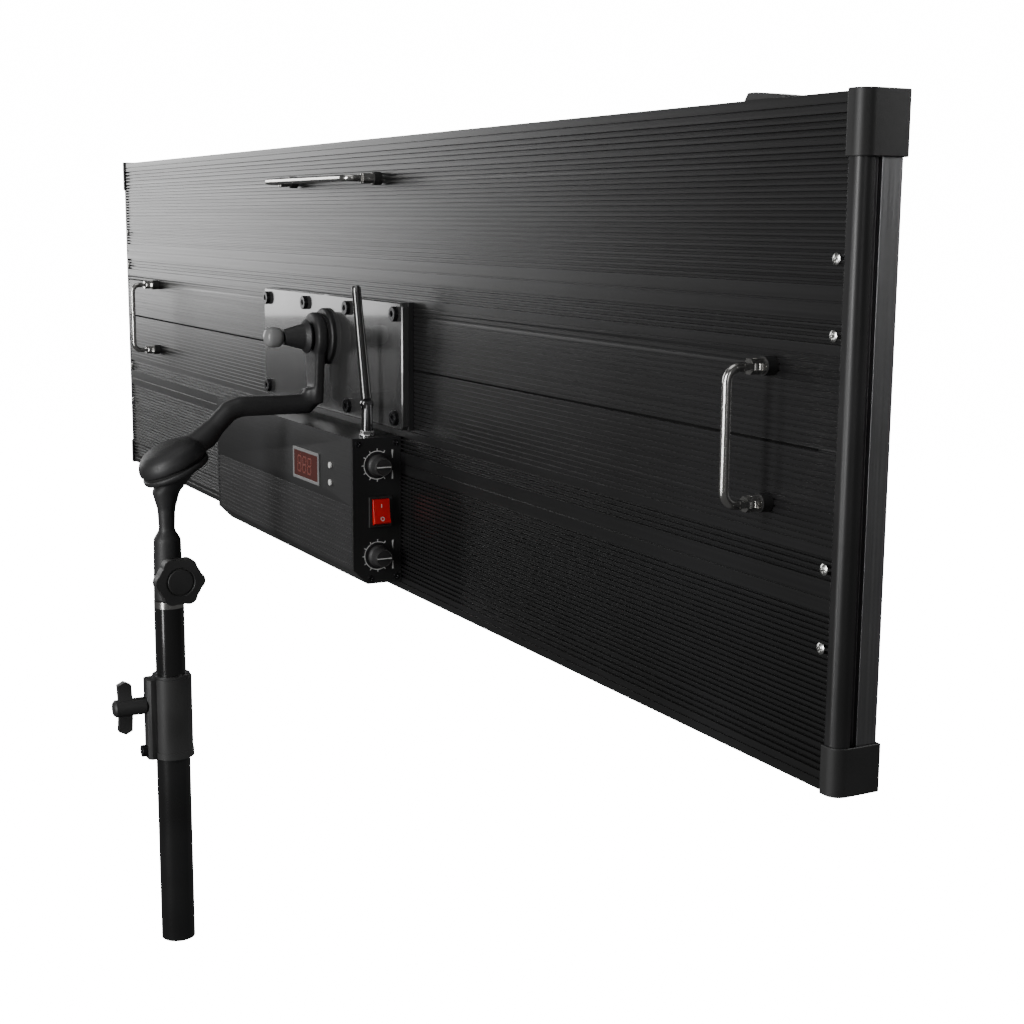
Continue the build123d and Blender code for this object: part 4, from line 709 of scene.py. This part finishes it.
endScrew = {"radius": 2.7 * mm, "rim": 0.5 * mm, "crown": 0.9 * mm, "recess": 0.9 * mm,
            "armWidth": 0.9 * mm, "armReach": 1.7 * mm, "rings": 14, "spokes": 40}
boxScrew = {"radius": 2.2 * mm, "rim": 0.3 * mm, "crown": 0.5 * mm, "recess": 0.6 * mm,
            "armWidth": 0.7 * mm, "armReach": 1.4 * mm, "rings": 12, "spokes": 32}
screwRows = {"heights": (67.0, 104.0, 210.0, 244.0), "inset": 14.0, "sunk": 0.1}
plateScrews = {"corner": 4.2, "lowerInset": 13.0}
panelLow, panelHigh = corners("bezel_bottom")
parts = []
for x in (panelLow[0] + screwRows["inset"] * mm, panelHigh[0] - screwRows["inset"] * mm):
    for row in screwRows["heights"]:
        place = (x, sinkHigh[1] - screwRows["sunk"] * mm, panelLow[2] + row * mm)
        parts.append(screwHead(place, (0, 1, 0), (1, 0, 0), endScrew))
makePiece("ribScrews", *joinedPoints(parts), zincScrew, body="panel", sharpAngle=40.0)
plateLow, plateHigh = corners("box_end_near")
farX = corners("box_end_far")[1][0]
cornerInset = plateScrews["corner"] * mm
screwPlaces = [
    (plateLow[1] + cornerInset, plateHigh[2] - cornerInset),
    (plateHigh[1] - cornerInset, plateHigh[2] - cornerInset),
    (plateLow[1] + cornerInset, plateLow[2] + cornerInset),
    (plateHigh[1] - plateScrews["lowerInset"] * mm, plateLow[2] + cornerInset),
]
parts = []
for y, z in screwPlaces:
    parts.append(screwHead((plateX, y, z), (-1, 0, 0), (0, 1, 0), boxScrew))
    parts.append(screwHead((farX, y, z), (1, 0, 0), (0, 1, 0), boxScrew))
makePiece("boxScrews", *joinedPoints(parts), blackScrew, body="panel", sharpAngle=40.0)
print("screws made")

# Stage, lights and camera

stage = {
    "floorSize": 60.0,
    "floorTone": 0.85,
    "floorGlow": 16.0,
    "worldTone": 1.0,
    "worldSeen": 16.0,
    "worldLight": 0.075,
}
floorMesh = bpy.data.meshes.new("floor")
half = stage["floorSize"] / 2
floorCorners = [(-half, -half, 0), (half, -half, 0), (half, half, 0), (-half, half, 0)]
floorMesh.from_pydata(floorCorners, [], [(0, 1, 2, 3)])
floorPaper = plain("floor_paper", (stage["floorTone"],) * 3, 0.8, grain=200, strength=0.02)
floorShader = floorPaper.node_tree.nodes["Principled BSDF"]
floorShader.inputs["Emission Color"].default_value = (1.0, 1.0, 1.0, 1.0)
floorShader.inputs["Emission Strength"].default_value = stage["floorGlow"]
floorMesh.materials.append(floorPaper)
floor = bpy.data.objects.new("floor", floorMesh)
floor.visible_glossy = False
floor.visible_diffuse = False
bpy.context.scene.collection.objects.link(floor)

world = bpy.data.worlds.new("studio")
world.use_nodes = True
bpy.context.scene.world = world
background = world.node_tree.nodes["Background"]
background.inputs["Color"].default_value = (stage["worldTone"],) * 3 + (1.0,)
# The backdrop is seen white, but lights the lamp only softly.
ray = world.node_tree.nodes.new("ShaderNodeLightPath")
strength = world.node_tree.nodes.new("ShaderNodeMapRange")
strength.inputs["To Min"].default_value = stage["worldLight"]
strength.inputs["To Max"].default_value = stage["worldSeen"]
world.node_tree.links.new(ray.outputs["Is Camera Ray"], strength.inputs["Value"])
world.node_tree.links.new(strength.outputs["Result"], background.inputs["Strength"])

lights = {
    # name: (position, target, width, height, watts)
    "keyBehind": ((-0.8, 1.9, 0.95), (-0.2, -0.1, 0.42), 0.3, 1.7, 38.0),
    "farGlow": ((3.4, 0.8, 1.05), (0.3, -0.13, 0.5), 1.2, 1.6, 27.0),
    "edgeNear": ((-2.4, 0.6, 1.0), (-0.5, -0.1, 0.4), 0.4, 1.4, 3.0),
    "overhead": ((0.0, 0.2, 2.4), (0.0, -0.1, 0.3), 2.0, 1.0, 6.0),
    "poleGlow": ((-0.31, 0.74, 0.28), (0.0, 0.0, 0.25), 0.12, 0.5, 2.2),
    "frontLeft": ((-1.4, -2.4, 1.5), (0.0, -0.15, 0.4), 1.4, 1.4, 48.0),
    "frontRight": ((1.8, -1.8, 1.2), (0.0, -0.15, 0.4), 1.0, 1.6, 26.0),
}
for name, (position, target, width, height, watts) in lights.items():
    lamp = bpy.data.lights.new(name, "AREA")
    lamp.shape = "RECTANGLE"
    lamp.size, lamp.size_y, lamp.energy = width, height, watts
    lampObject = bpy.data.objects.new(name, lamp)
    lampObject.location = position
    lampObject.visible_camera = False
    aim = Vector(target) - Vector(position)
    lampObject.rotation_euler = aim.to_track_quat("-Z", "Y").to_euler()
    bpy.context.scene.collection.objects.link(lampObject)

camera = {"lens": 58.08, "place": (-1.1696, 0.3359, 0.5404), "yaw": -28.02, "pitch": -9.99, "roll": -0.437}
cameraData = bpy.data.cameras.new("camera")
cameraData.lens = camera["lens"]
cameraObject = bpy.data.objects.new("camera", cameraData)
yaw, pitch = math.radians(camera["yaw"]), math.radians(camera["pitch"])
forward = Vector((math.cos(pitch) * math.cos(yaw), math.cos(pitch) * math.sin(yaw), math.sin(pitch)))
roll = Matrix.Rotation(math.radians(-camera["roll"]), 3, "Z")
turn = forward.to_track_quat("-Z", "Y") @ roll.to_quaternion()
cameraObject.rotation_mode = "QUATERNION"
cameraObject.rotation_quaternion = turn
cameraObject.location = camera["place"]
cameraData.clip_start = 0.05
bpy.context.scene.collection.objects.link(cameraObject)
bpy.context.scene.camera = cameraObject
print("stage, lights and camera made")
